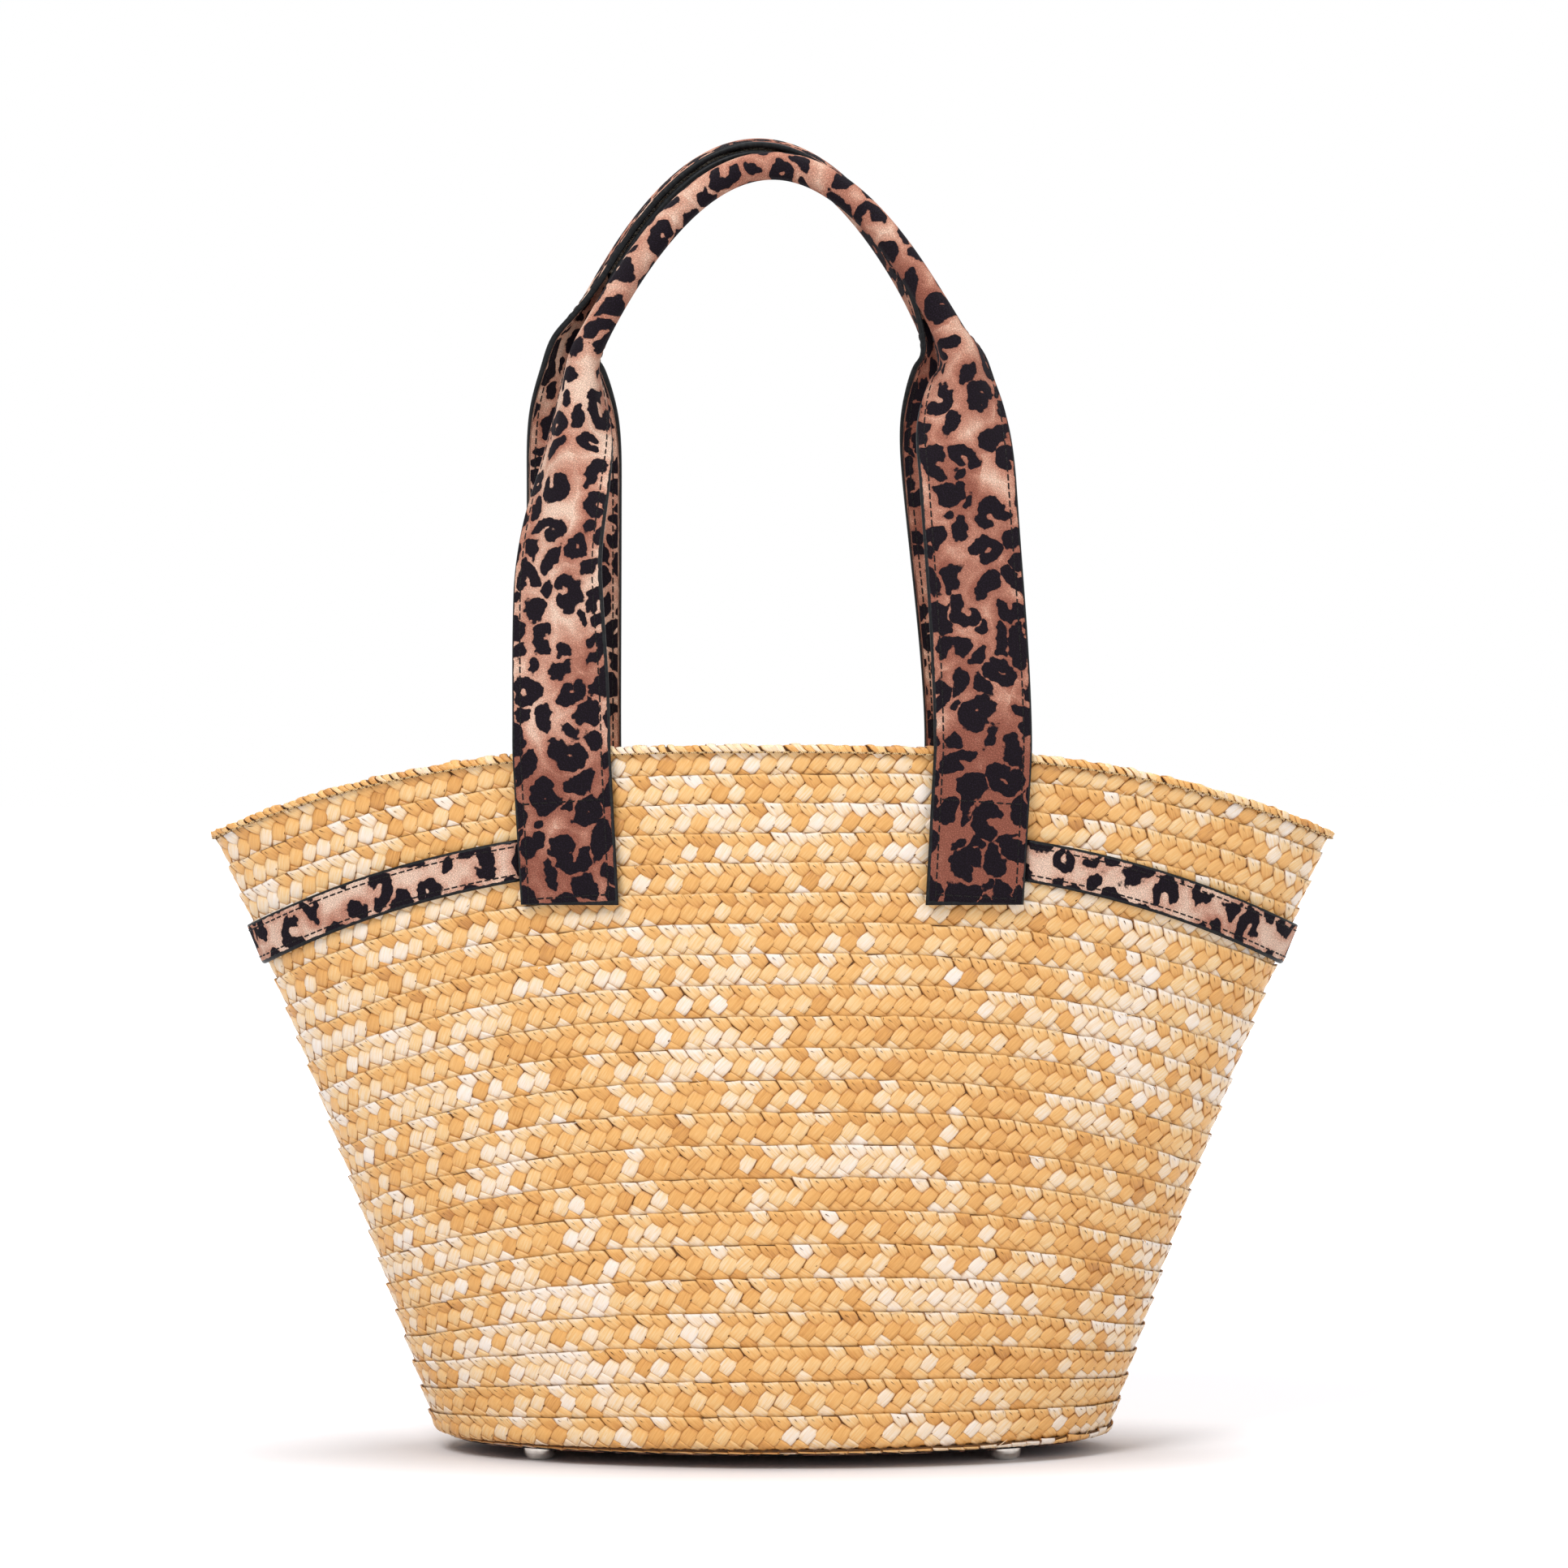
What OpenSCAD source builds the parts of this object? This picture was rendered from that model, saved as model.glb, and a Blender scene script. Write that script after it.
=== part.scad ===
// Beach bag: a tote sewn from plaited straw, with two folded shoulder handles.
// Units are mm and +Z is up. The front faces -Y and the origin is on the floor under the base.
// The wall is a loft: each course of plait is one sloped step, and the steps follow the arched rim.

/* [Straw body] */

// Length of the mouth from end to end
rim_len = 456; // [400:2:500]
// Depth of the mouth at its middle, front to back
rim_dep = 140; // [110:2:170]
// Length of the base
base_len = 276; // [230:2:320]
// Depth of the base
base_dep = 148; // [120:2:180]
// Height of the rim at the middle of the front
rim_h = 288; // [240:2:340]
// How far the rim drops towards both ends
rim_drop = 35; // [10:1:50]
// Extra depth of the wall at half its height, on each side
belly = 4; // [0:0.5:10]
// Share of the widening that comes late, near the rim
flare = 0.33; // [0:0.01:0.7]
// How pointed the two ends of the mouth are
end_pinch = 0.38; // [0:0.01:0.45]

/* [Straw courses] */

// Number of courses in the wall
courses = 22; // [16:1:26]
// Thickness of the plait
straw_t = 2.6; // [1.8:0.1:4]
// How far the top edge of a course stands out over the next course
course_lap = 1.6; // [0.6:0.1:2.4]
// Thickness of the flat straw bottom
bottom_t = 3.2; // [2:0.1:5]
// How far the straw bottom stays inside the lowest course
bottom_inset = 1.5; // [0.5:0.1:4]

/* [Rim edging] */

// Thickness of the folded edging
edge_t = 1.1; // [0.6:0.1:2]
// How far the edging reaches down outside
edge_out = 4.5; // [3:0.1:8]
// How far the edging reaches down inside
edge_in = 8; // [5:0.5:14]

/* [Lining and base] */

// Thickness of the lining cloth
lining_t = 0.8; // [0.5:0.1:1.5]
// Thickness of the base board
board_t = 2.2; // [1.5:0.1:4]
// Thickness of the printed base patch
patch_t = 3; // [2:0.1:5]
// How far the patch stays inside the lowest course
patch_inset = 7; // [4:0.5:12]

/* [Feet] */

// Diameter of a foot
foot_d = 13; // [10:0.5:16]
// Height of a foot under the patch
foot_h = 5; // [3.5:0.5:8]
// Diameter of the flat spot that a foot stands on
foot_flat_d = 6; // [3:0.5:9]
// Distance from a foot to the end of the base
foot_from_end = 44; // [36:1:60]
// Distance from a foot to the side of the base
foot_from_side = 38; // [32:1:50]
// Diameter of the foot shank
shank_d = 3; // [2:0.1:4]
// Diameter of the spread head on the shank
head_d = 5; // [4.5:0.1:6]
// Height of the spread head
head_t = 0.8; // [0.5:0.1:1.5]
// Outer diameter of the washer
washer_d = 11; // [8:0.5:14]
// Thickness of the washer
washer_t = 0.8; // [0.5:0.1:1.5]
// Clearance of the shank in its holes, on the radius
shank_gap = 0.15; // [0.1:0.05:0.4]

/* [Handles] */

// Width of the strap when it is flat
strap_w = 40; // [32:1:46]
// Thickness of the strap, both strips together
strap_t = 2.6; // [2:0.1:3.6]
// Distance between the two legs of a handle, centre to centre
strap_spread = 164; // [140:2:190]
// Length of the sewn end
tab_len = 40; // [30:1:50]
// Distance from the fold line of a handle up to the rim
fold_below_rim = 21; // [14:1:30]
// Height of the top of the grip above the rim
handle_rise = 237; // [200:1:280]
// Height of the arch that the grip makes
arch_rise = 80; // [60:1:100]
// Span of the arch that the grip makes
arch_span = 154; // [130:2:180]
// Height over which the flat strap folds into the grip
curl_len = 86; // [60:1:110]
// The same for the front left leg, which folds more slowly
left_curl_len = 130; // [86:1:140]
// Height of the folded grip
grip_d = 11.4; // [10:0.2:15]
// Gap between the two edges of the folded strap
seam_gap = 0.4; // [0.3:0.05:0.8]
// Clearance between the filler cord and the fold round it
cord_gap = 0.5; // [0.4:0.05:1.2]
// Clearance at the fold line and between the two grips
fold_gap = 0.5; // [0.4:0.05:1]
// How far the legs spread apart for each mm upwards along the wall
leg_splay = 0.06; // [0:0.01:0.15]
// Turn of the front left leg about its own line, in degrees
left_twist = 30; // [0:1:45]
// Turn of the front right leg about its own line, in degrees
right_twist = 10; // [0:1:45]
// How far the front left leg bows outwards
leg_bow = 6; // [0:0.5:12]
// How far the back grip lies to the left of the front one
grip_shift = 6; // [0:0.5:10]
// How far the back grip lies above the front one
grip_lift = 9; // [0:0.5:14]

/* [Side bands] */

// Width of a side band
band_w = 16.4; // [12:0.2:20]
// Thickness of a side band
band_t = 2; // [1.2:0.1:3]
// Distance from the rim down to the middle of a side band
band_below_rim = 44; // [36:1:56]

/* [Hidden] */

n_around = 56;
n_inside = 6;
n_across = 8;
n_curl = 6;
n_arch = 14;
n_band = 28;
lie_gap = 0.35;
glue_t = 0.1;
rim_power = 2.8;
rim_ease = 2.5;
curl_share = 0.62;

patch_z = foot_h;
bottom_z = patch_z + patch_t;
wall_z0 = bottom_z + bottom_t;
wall_h = rim_h - wall_z0;
board_z = wall_z0;
washer_z = board_z + board_t;
head_z = washer_z + washer_t;
lining_z = head_z + head_t + lie_gap;
foot_x = base_len / 2 - foot_from_end;
foot_y = base_dep / 2 - foot_from_side;

strap_x = strap_spread / 2;
strap_off = course_lap + lie_gap + edge_t + lie_gap + strap_t / 2;
fold_v = 1 - fold_below_rim / wall_h;
tab_v = fold_v - tab_len / wall_h;
grip_r = (grip_d - strap_t) / 2;
grip_z = rim_h + handle_rise;
pinch_z = grip_z - arch_rise;
cord_r = grip_r - strap_t / 2 - cord_gap;
band_v = 1 - band_below_rim / wall_h;

// Small vector helpers
function mix(a, b, s) = a + (b - a) * s;
function unit(p) = p / norm(p);
function ease(s) = let (q = min(1, max(0, s))) q * q * (3 - 2 * q);

// The wall: t goes round the bag in degrees, v runs from 0 at the base to 1 at the rim
function half_len(v) = mix(base_len, rim_len, mix(v, v * v, flare)) / 2;
function half_dep(v) = mix(base_dep, rim_dep, v) / 2 + 4 * belly * v * (1 - v);
function wall_xy(t, v) =
    let (s = sin(t))
    [half_len(v) * cos(t), half_dep(v) * s * (1 - end_pinch * v * (1 - abs(s)))];
function wall_normal(t, v) =
    let (s = sin(t), c = cos(t), e = end_pinch * v)
    unit([half_dep(v) * c * (1 - e + 2 * e * abs(s)), half_len(v) * s]);
function wall_z(t, v) =
    wall_z0 + wall_h * v - rim_drop * (1 - pow(1 - v, rim_ease)) * pow(abs(cos(t)), rim_power);
function wall_point(t, v, off) =
    let (p = wall_xy(t, v) + off * wall_normal(t, v))
    [p.x, p.y, wall_z(t, v)];
function wall_ring(v, off) = [for (j = [0:n_around - 1]) wall_point(360 * j / n_around, v, off)];
function angle_at(x, v) = acos(min(1, x / half_len(v)));
function lifted(ring, z) = [for (p = ring) [p.x, p.y, p.z + z]];
function levelled(ring, z) = [for (p = ring) [p.x, p.y, z]];
function base_outline(inset) =
    [for (j = [0:n_around - 1]) let (t = 360 * j / n_around) wall_xy(t, 0) - inset * wall_normal(t, 0)];

// Sides between rings of equal count, seen clockwise from outside
// From point number turn_at on, each four-sided patch is cut along its other diagonal
function side_faces(m, n, wrap, turn_at) =
    [for (i = [0:m - (wrap ? 1 : 2)], j = [0:n - 1])
        let (k = (i + 1) % m, l = (j + 1) % n)
        let (a = i * n + j, b = i * n + l, c = k * n + l, d = k * n + j)
        each (j < turn_at ? [[a, c, b], [a, d, c]] : [[a, d, b], [b, d, c]])];

// Hollow ring solid: the last ring joins the first one again
module ring_loft(rings) {
    polyhedron(
        points = [for (r = rings) each r],
        faces = side_faces(len(rings), len(rings[0]), true, len(rings[0])));
}

// Solid with a flat cap on the first and the last ring
module capped_loft(rings, turn_at = 1000) {
    m = len(rings);
    n = len(rings[0]);
    first = [for (j = [0:n - 1]) j];
    last = [for (j = [n - 1:-1:0]) (m - 1) * n + j];
    polyhedron(
        points = [for (r = rings) each r],
        faces = concat([first], side_faces(m, n, false, turn_at), [last]));
}

module at_feet(sx, sy) {
    translate([sx * foot_x, sy * foot_y, 0]) children();
}

module shank_holes(z, t) {
    for (sx = [-1, 1], sy = [-1, 1])
        at_feet(sx, sy)
            translate([0, 0, z - 1])
                cylinder(d = shank_d + 2 * shank_gap, h = t + 2, $fn = 32);
}

module base_plate(inset, z, t) {
    difference() {
        translate([0, 0, z])
            linear_extrude(height = t)
                polygon(base_outline(inset));
        shank_holes(z, t);
    }
}

// Straw
module straw_wall() {
    outside = [for (i = [0:courses - 1]) each [
        wall_ring(i / courses, 0),
        wall_ring((i + 1) / courses, course_lap)]];
    inside = [for (i = [n_inside:-1:0]) wall_ring(i / n_inside, -straw_t)];
    color("#e2b56a")
        ring_loft(concat(outside, inside));
}

module straw_bottom() {
    color("#d9aa5e")
        base_plate(bottom_inset, bottom_z, bottom_t);
}

module rim_edging() {
    out_face = course_lap + lie_gap / 2 + edge_t;
    in_face = -(straw_t + lie_gap + lining_t + lie_gap / 2 + edge_t);
    v_out = 1 - edge_out / wall_h;
    v_in = 1 - edge_in / wall_h;
    top = lie_gap / 2;
    color("#ecc98c")
        ring_loft([
            wall_ring(v_out, out_face),
            lifted(wall_ring(1, out_face), top + edge_t),
            lifted(wall_ring(1, in_face), top + edge_t),
            wall_ring(v_in, in_face),
            wall_ring(v_in, in_face + edge_t),
            lifted(wall_ring(1, in_face + edge_t), top),
            lifted(wall_ring(1, out_face - edge_t), top),
            wall_ring(v_out, out_face - edge_t)]);
}

// Inside and base
module lining() {
    v_floor = (lining_z - wall_z0) / wall_h;
    v_top = 1 - edge_t / wall_h;
    out_face = -(straw_t + lie_gap);
    in_face = out_face - lining_t;
    levels = concat([for (i = [1:n_inside - 1]) i / n_inside], [v_top]);
    color("#e9e2d2")
        capped_loft(concat(
            [levelled(wall_ring(v_floor, out_face), lining_z)],
            [for (v = levels) wall_ring(v, out_face)],
            [for (i = [n_inside - 1:-1:0]) wall_ring(levels[i], in_face)],
            [levelled(wall_ring(v_floor, in_face), lining_z + lining_t)]));
}

module base_board() {
    color("#b79b72")
        base_plate(straw_t + 2 * lie_gap, board_z, board_t);
}

module base_patch() {
    color("#8a5f4a")
        base_plate(patch_inset, patch_z, patch_t);
}

module foot() {
    foot_r = foot_d / 2;
    flat_r = foot_flat_d / 2;
    band = foot_h * 0.24;
    dome = [for (a = [0:15:90]) [mix(flat_r, foot_r, sin(a)), (foot_h - band) * (1 - cos(a))]];
    color("#c9ccd0")
        rotate_extrude($fn = 48)
            polygon(concat(
                [[0, 0]],
                dome,
                [[foot_r, foot_h], [shank_d / 2, foot_h], [shank_d / 2, head_z],
                [head_d / 2, head_z], [head_d / 2, head_z + head_t], [0, head_z + head_t]]));
}

module washer() {
    color("#a9adb2")
        difference() {
            translate([0, 0, washer_z])
                cylinder(d = washer_d, h = washer_t, $fn = 48);
            translate([0, 0, washer_z - 1])
                cylinder(d = shank_d + 2 * shank_gap, h = washer_t + 2, $fn = 32);
        }
}

module foot_front_left() { at_feet(-1, -1) foot(); }
module foot_front_right() { at_feet(1, -1) foot(); }
module foot_back_left() { at_feet(-1, 1) foot(); }
module foot_back_right() { at_feet(1, 1) foot(); }
module washer_front_left() { at_feet(-1, -1) washer(); }
module washer_front_right() { at_feet(1, -1) washer(); }
module washer_back_left() { at_feet(-1, 1) washer(); }
module washer_back_right() { at_feet(1, 1) washer(); }

// The strap lies on the wall up to the rim: its middle line and its facing
function strap_x_at(v) = strap_x + leg_splay * wall_h * (v - fold_v);
function strap_angle(v) = angle_at(strap_x_at(v), v);
function strap_at(v) = wall_point(strap_angle(v), v, strap_off);
function strap_facing(v) = let (n = wall_normal(strap_angle(v), v)) [n.x, n.y, 0];

// The grip is the strap folded lengthwise: a round back of radius grip_r, then two flat flaps.
// The round part ends past a half turn by close_angle on each side, so that the edges meet.
function close_angle(g, steps) =
    steps == 0 ? g : close_angle(
        asin((grip_r * cos(g) - (strap_t + seam_gap) / 2) / (strap_w / 2 - grip_r * (90 + g) * PI / 180)),
        steps - 1);
past_half = close_angle(15, 20);
round_half = grip_r * (90 + past_half) * PI / 180;
flap_w = strap_w / 2 - round_half;
grip_depth = grip_r * (1 + sin(past_half)) + flap_w * cos(past_half) + strap_t / 2;
grip_y = grip_depth + fold_gap / 2;

// One point of a folded section: u across the strap, d out from its middle, fold from 0 to 1
function fold_point(u, d, fold) =
    let (end = max(0.5, fold * (90 + past_half)), r = round_half / (end * PI / 180))
    let (a = min(1, abs(u) / round_half) * end, flap = max(0, abs(u) - round_half))
    [sign(u) * ((r + d) * sin(a) + flap * cos(a)), (r + d) * cos(a) - r - flap * sin(a)];
across = [for (k = [-n_across / 2:n_across / 2])
    abs(k) < n_across / 2 ? round_half * k / (n_across / 2 - 1) : sign(k) * strap_w / 2];

// Section across a strap between two depths from its middle
function strap_ring(p, t, n, fold, low, high) =
    let (w = unit(cross(n, t)), m = cross(t, w))
    let (inside = [for (u = across) fold_point(u, low, fold)])
    let (outside = [for (i = [n_across:-1:0]) fold_point(across[i], high, fold)])
    [for (q = concat(inside, outside)) p + w * q.x + m * q.y];

// Sewn end of a strap, with its lower corners cut back
function tab_ring(v, half) =
    let (p = strap_at(v), n = strap_facing(v), w = unit(cross(n, [0, 0, 1])))
    [p - w * half - n * strap_t / 2, p + w * half - n * strap_t / 2,
    p + w * half + n * strap_t / 2, p - w * half + n * strap_t / 2];

module tab() {
    corner = strap_t;
    color("#a9745a")
        capped_loft([
            tab_ring(tab_v, strap_w / 2 - corner),
            tab_ring(tab_v + corner / wall_h, strap_w / 2),
            tab_ring(mix(tab_v, fold_v, 0.5), strap_w / 2),
            tab_ring(fold_v, strap_w / 2)]);
}

module tab_back_right() { tab(); }
module tab_back_left() { mirror([1, 0, 0]) tab(); }
module tab_front_right() { mirror([0, 1, 0]) tab(); }
module tab_front_left() { mirror([1, 0, 0]) mirror([0, 1, 0]) tab(); }

// Side band: rectangular section, round one end of the bag from tab to tab
function band_ring(q) =
    let (dv = band_w / 2 / wall_h, low = course_lap + lie_gap, high = course_lap + lie_gap + band_t)
    let (v0 = band_v - dv, v1 = band_v + dv)
    let (t0 = q * angle_at(strap_x_at(v0) + strap_w / 2, v0))
    let (t1 = q * angle_at(strap_x_at(v1) + strap_w / 2, v1))
    [wall_point(t0, v0, low), wall_point(t1, v1, low), wall_point(t1, v1, high), wall_point(t0, v0, high)];

module band() {
    color("#a9745a")
        capped_loft([for (i = [0:n_band]) band_ring(2 * i / n_band - 1)]);
}

module band_right() { band(); }
module band_left() { mirror([1, 0, 0]) band(); }

// Middle line of a handle from its right fold line over the top: place, facing and fold
rim_at = strap_at(1) + [0, 0, edge_t];
flat_z = pinch_z - curl_share * curl_len;
curl_top = flat_z + curl_len;
function fold_at(z, len) = ease((z - curl_top + len) / len);
lean = atan((rim_at.y - grip_y) / (grip_z - rim_at.z));
leg_out = [0, cos(lean), sin(lean)];
grip_out = [0, 1, 0];
function leg_share(z) = (z - rim_at.z) / (pinch_z - rim_at.z);
function lean_y(z) = mix(rim_at.y, grip_y, (z - rim_at.z) / (grip_z - rim_at.z));
function leg_point(z) = [mix(rim_at.x, arch_span / 2, ease(leg_share(z))), lean_y(z), z];
function arch_point(a) =
    let (z = grip_z - arch_rise * cos(a) * cos(a))
    [cos(a) * arch_span / 2, lean_y(z), z];
// Share of its turn and bow that a leg has at a height: most at a good half of the way up
function turn_share(z) = let (q = leg_share(z)) ease(q / 0.6) * ease((1 - q) / 0.3);
function leg_facing(z, twist) =
    let (up = unit(mix(leg_out, grip_out, fold_at(z, curl_len))))
    let (n = unit(mix(strap_facing(1), up, ease((z - rim_at.z) / (flat_z - rim_at.z)))))
    let (b = twist * turn_share(z))
    [n.x * cos(b) + n.y * sin(b), n.y * cos(b) - n.x * sin(b), n.z];

wall_stations = [strap_at(fold_v) + [0, 0, fold_gap], strap_at(mix(fold_v, 1, 0.6)), rim_at];
wall_facings = [strap_facing(fold_v), strap_facing(mix(fold_v, 1, 0.6)), strap_facing(1)];
leg_heights = concat(
    [for (s = [0.15, 0.4, 0.65]) mix(rim_at.z, flat_z, s)],
    [for (i = [0:n_curl - 1]) mix(flat_z, pinch_z, i / n_curl)]);
leg_places = concat(wall_stations, [for (z = leg_heights) leg_point(z)]);
function leg_folds(len) = [for (p = leg_places) fold_at(p.z, len)];
arch_angles = [for (i = [0:n_arch]) 180 * i / n_arch];
n_leg = len(leg_places);
n_places = 2 * n_leg + n_arch + 1;

function leg_facings(twist) = concat(wall_facings, [for (z = leg_heights) leg_facing(z, twist)]);
function backwards(list) = [for (i = [len(list) - 1:-1:0]) list[i]];
function other_leg(list) = [for (p = backwards(list)) [-p.x, p.y, p.z]];
function moved(list, shift, lift) =
    [for (p = list) p + ease(leg_share(p.z)) * [shift, 0, lift]];
arch_places = [for (a = arch_angles) arch_point(a)];
bowed_places = [for (p = leg_places) p + turn_share(p.z) * [leg_bow, 0, 0]];
function arch_folds(len) = [for (a = arch_angles) fold_at(arch_point(a).z, a > 90 ? len : curl_len)];
function handle_folds(len) = concat(leg_folds(curl_len), arch_folds(len), backwards(leg_folds(len)));
front_folds = handle_folds(left_curl_len);
back_folds = handle_folds(curl_len);
front_places = concat(leg_places, arch_places, other_leg(bowed_places));
back_places = moved(concat(leg_places, arch_places, other_leg(leg_places)), -grip_shift, grip_lift);
arch_facings = [for (a = arch_angles) grip_out];
front_facings = concat(leg_facings(right_twist), arch_facings, other_leg(leg_facings(left_twist)));
back_facings = concat(leg_facings(0), arch_facings, other_leg(leg_facings(0)));
function heading(places, i) =
    i == 0 ? [0, 0, 1] : i == n_places - 1 ? [0, 0, -1] : unit(places[i + 1] - places[i - 1]);

module handle_strip(places, facings, folds, low, high) {
    color("#b07a5f")
        capped_loft(
            [for (i = [0:n_places - 1])
                strap_ring(places[i], heading(places, i), facings[i], folds[i], low, high)],
            n_across + 1);
}

// Filler cord inside the closed part of the grip
module handle_cord(places, facings, folds) {
    inner = [for (i = [n_leg:n_places - n_leg - 1]) if (folds[i] > 0.99) i];
    color("#efe6d6")
        capped_loft([for (i = inner)
            let (t = heading(places, i), w = unit(cross(facings[i], t)), m = cross(t, w))
            [for (a = [0:45:315]) places[i] - m * grip_r + cord_r * (w * cos(a) + m * sin(a))]]);
}

module back_handle_outer_strip() {
    handle_strip(back_places, back_facings, back_folds, glue_t / 2, strap_t / 2);
}
module back_handle_inner_strip() {
    handle_strip(back_places, back_facings, back_folds, -strap_t / 2, -glue_t / 2);
}
module back_handle_cord() { handle_cord(back_places, back_facings, back_folds); }
module front_handle_outer_strip() {
    mirror([0, 1, 0]) handle_strip(front_places, front_facings, front_folds, glue_t / 2, strap_t / 2);
}
module front_handle_inner_strip() {
    mirror([0, 1, 0]) handle_strip(front_places, front_facings, front_folds, -strap_t / 2, -glue_t / 2);
}
module front_handle_cord() { mirror([0, 1, 0]) handle_cord(front_places, front_facings, front_folds); }

straw_wall();
straw_bottom();
rim_edging();
lining();
base_board();
base_patch();
foot_front_left();
foot_front_right();
foot_back_left();
foot_back_right();
washer_front_left();
washer_front_right();
washer_back_left();
washer_back_right();
tab_front_left();
tab_front_right();
tab_back_left();
tab_back_right();
band_left();
band_right();
front_handle_outer_strip();
front_handle_inner_strip();
front_handle_cord();
back_handle_outer_strip();
back_handle_inner_strip();
back_handle_cord();
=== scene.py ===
import math

import bmesh
import bpy
import numpy as np
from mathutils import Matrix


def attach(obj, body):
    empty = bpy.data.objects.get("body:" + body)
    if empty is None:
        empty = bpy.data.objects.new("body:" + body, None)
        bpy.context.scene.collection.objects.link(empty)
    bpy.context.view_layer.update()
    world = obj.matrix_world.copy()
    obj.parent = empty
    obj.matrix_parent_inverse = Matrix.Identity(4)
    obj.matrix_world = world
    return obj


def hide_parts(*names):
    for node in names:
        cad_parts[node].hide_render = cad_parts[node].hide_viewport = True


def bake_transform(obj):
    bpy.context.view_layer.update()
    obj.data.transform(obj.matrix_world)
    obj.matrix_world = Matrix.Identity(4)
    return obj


# Beach bag: plaited straw sewn in a rising spiral, with printed strap handles, side bands and base patch.
# Lengths are millimetres until a mesh is made. The front faces -Y and +Z is up, as in the frame.

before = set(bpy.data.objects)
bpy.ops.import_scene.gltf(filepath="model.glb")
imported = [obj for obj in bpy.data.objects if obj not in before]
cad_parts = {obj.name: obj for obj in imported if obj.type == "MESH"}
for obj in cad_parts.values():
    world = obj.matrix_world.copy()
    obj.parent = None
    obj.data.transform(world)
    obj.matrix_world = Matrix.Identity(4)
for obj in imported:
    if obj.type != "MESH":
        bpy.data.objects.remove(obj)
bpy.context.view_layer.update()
MM = 0.001
TAU = 2 * math.pi
draw = np.random.default_rng(20)

# Straw body
RIM_LEN, RIM_DEP = 456.0, 140.0
BASE_LEN, BASE_DEP = 276.0, 148.0
RIM_H, RIM_DROP = 288.0, 35.0
BELLY, FLARE, END_PINCH = 4.0, 0.33, 0.38
RIM_POWER, RIM_EASE = 2.8, 2.5
STRAW_T, COURSE_LAP, COURSES = 2.6, 1.6, 22
PATCH_Z, PATCH_T, BOTTOM_T = 5.0, 3.0, 3.2
BOTTOM_Z = PATCH_Z + PATCH_T
WALL_Z0 = BOTTOM_Z + BOTTOM_T
WALL_H = RIM_H - WALL_Z0
CORNER_R = 3.0
LIE_GAP = 0.35
EDGE_T = 1.1
PATCH_INSET = 7.0
LINING_Z, LINING_T, LINING_GIRTH = 15.35, 0.6, 820

# Handles
STRAP_W, STRAP_T = 40.0, 2.6
STRAP_X, STRAP_OFF = 82.0, 4.7
LEG_SPLAY = 0.06
TAB_LEN, FOLD_BELOW_RIM = 40.0, 21.0
GRIP_Z, ARCH_RISE, ARCH_SPAN = 525.0, 80.0, 154.0
CURL_LEN, LEFT_CURL_LEN, CURL_SHARE = 86.0, 130.0, 0.62
GRIP_D, SEAM_GAP, GRIP_CLEAR = 11.4, 0.4, 0.25
LEFT_TWIST, RIGHT_TWIST, LEG_BOW = math.radians(30), math.radians(10), 6.0
GRIP_SHIFT, GRIP_LIFT = -6.0, 9.0
FOLD_V = 1 - FOLD_BELOW_RIM / WALL_H
TAB_V = FOLD_V - TAB_LEN / WALL_H
PINCH_Z = GRIP_Z - ARCH_RISE
FLAT_Z = PINCH_Z - CURL_SHARE * CURL_LEN
CURL_TOP = FLAT_Z + CURL_LEN
FRAME_STEP = 1.8

# Side bands
BAND_W, BAND_T, BAND_BELOW_RIM, BAND_DROOP = 16.4, 2.0, 44.0, 5.0
BAND_FACE_IN, BAND_BEAD_R, BAND_TUCK = 1.25, 1.05, 0.2

# Sewing: stitch pitch, stitch length and thread radius, and the stitch lines' way in from an edge
STITCH_STEP, STITCH_LEN, THREAD_R = 3.7, 3.0, 0.34
BAND_STITCH_STEP, BAND_STITCH_LEN, BAND_THREAD_R = 3.6, 2.9, 0.32
PATCH_STITCH_STEP = 3.8
STRAP_STITCH_IN, BAND_STITCH_IN, PATCH_STITCH_IN = 3.7, 2.7, 4.0
BOX_LOW, BOX_HIGH = 3.2, 41.0

# Print: the places from which the pieces are cut, and the paleness of the ground on the two legs
INNER_PRINT, BACK_PRINT, BAND_PRINT, BAND_PRINT_STEP, PATCH_PRINT = 120, 400, 700, 60, 1000
NO_SEWN_END = 90
DARK_LEG, PALE_LEG = -0.5, 0.75


def mix(a, b, s):
    """Straight change from a to b while s goes from 0 to 1."""
    return a + (b - a) * s


def ease(s):
    """Soft change from 0 to 1: three squares less two cubes of s."""
    q = np.clip(s, 0, 1)
    return q * q * (3 - 2 * q)


def unit(p):
    """The same directions with a length of 1."""
    return p / np.linalg.norm(p, axis=-1, keepdims=True)


def run_lengths(p):
    """Length along a line of places, from 0 at its start."""
    return np.concatenate([[0.0], np.cumsum(np.linalg.norm(np.diff(p, axis=0), axis=-1))])


def half_len(v):
    """Half the length of the oval, which grows faster towards the rim. v is the share of the height."""
    return mix(BASE_LEN, RIM_LEN, mix(v, v * v, FLARE)) / 2


def half_dep(v):
    """Half the depth of the oval: a straight change with v, and a belly that is fullest half way up."""
    return mix(BASE_DEP, RIM_DEP, v) / 2 + 4 * BELLY * v * (1 - v)


def wall_normal(t, v):
    """Level outward direction of the wall: the slope of the pinched oval at angle t."""
    s, c = np.sin(t), np.cos(t)
    e = END_PINCH * v
    n = np.stack([half_dep(v) * c * (1 - e + 2 * e * np.abs(s)), half_len(v) * s, 0 * s], -1)
    return unit(n)


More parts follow.
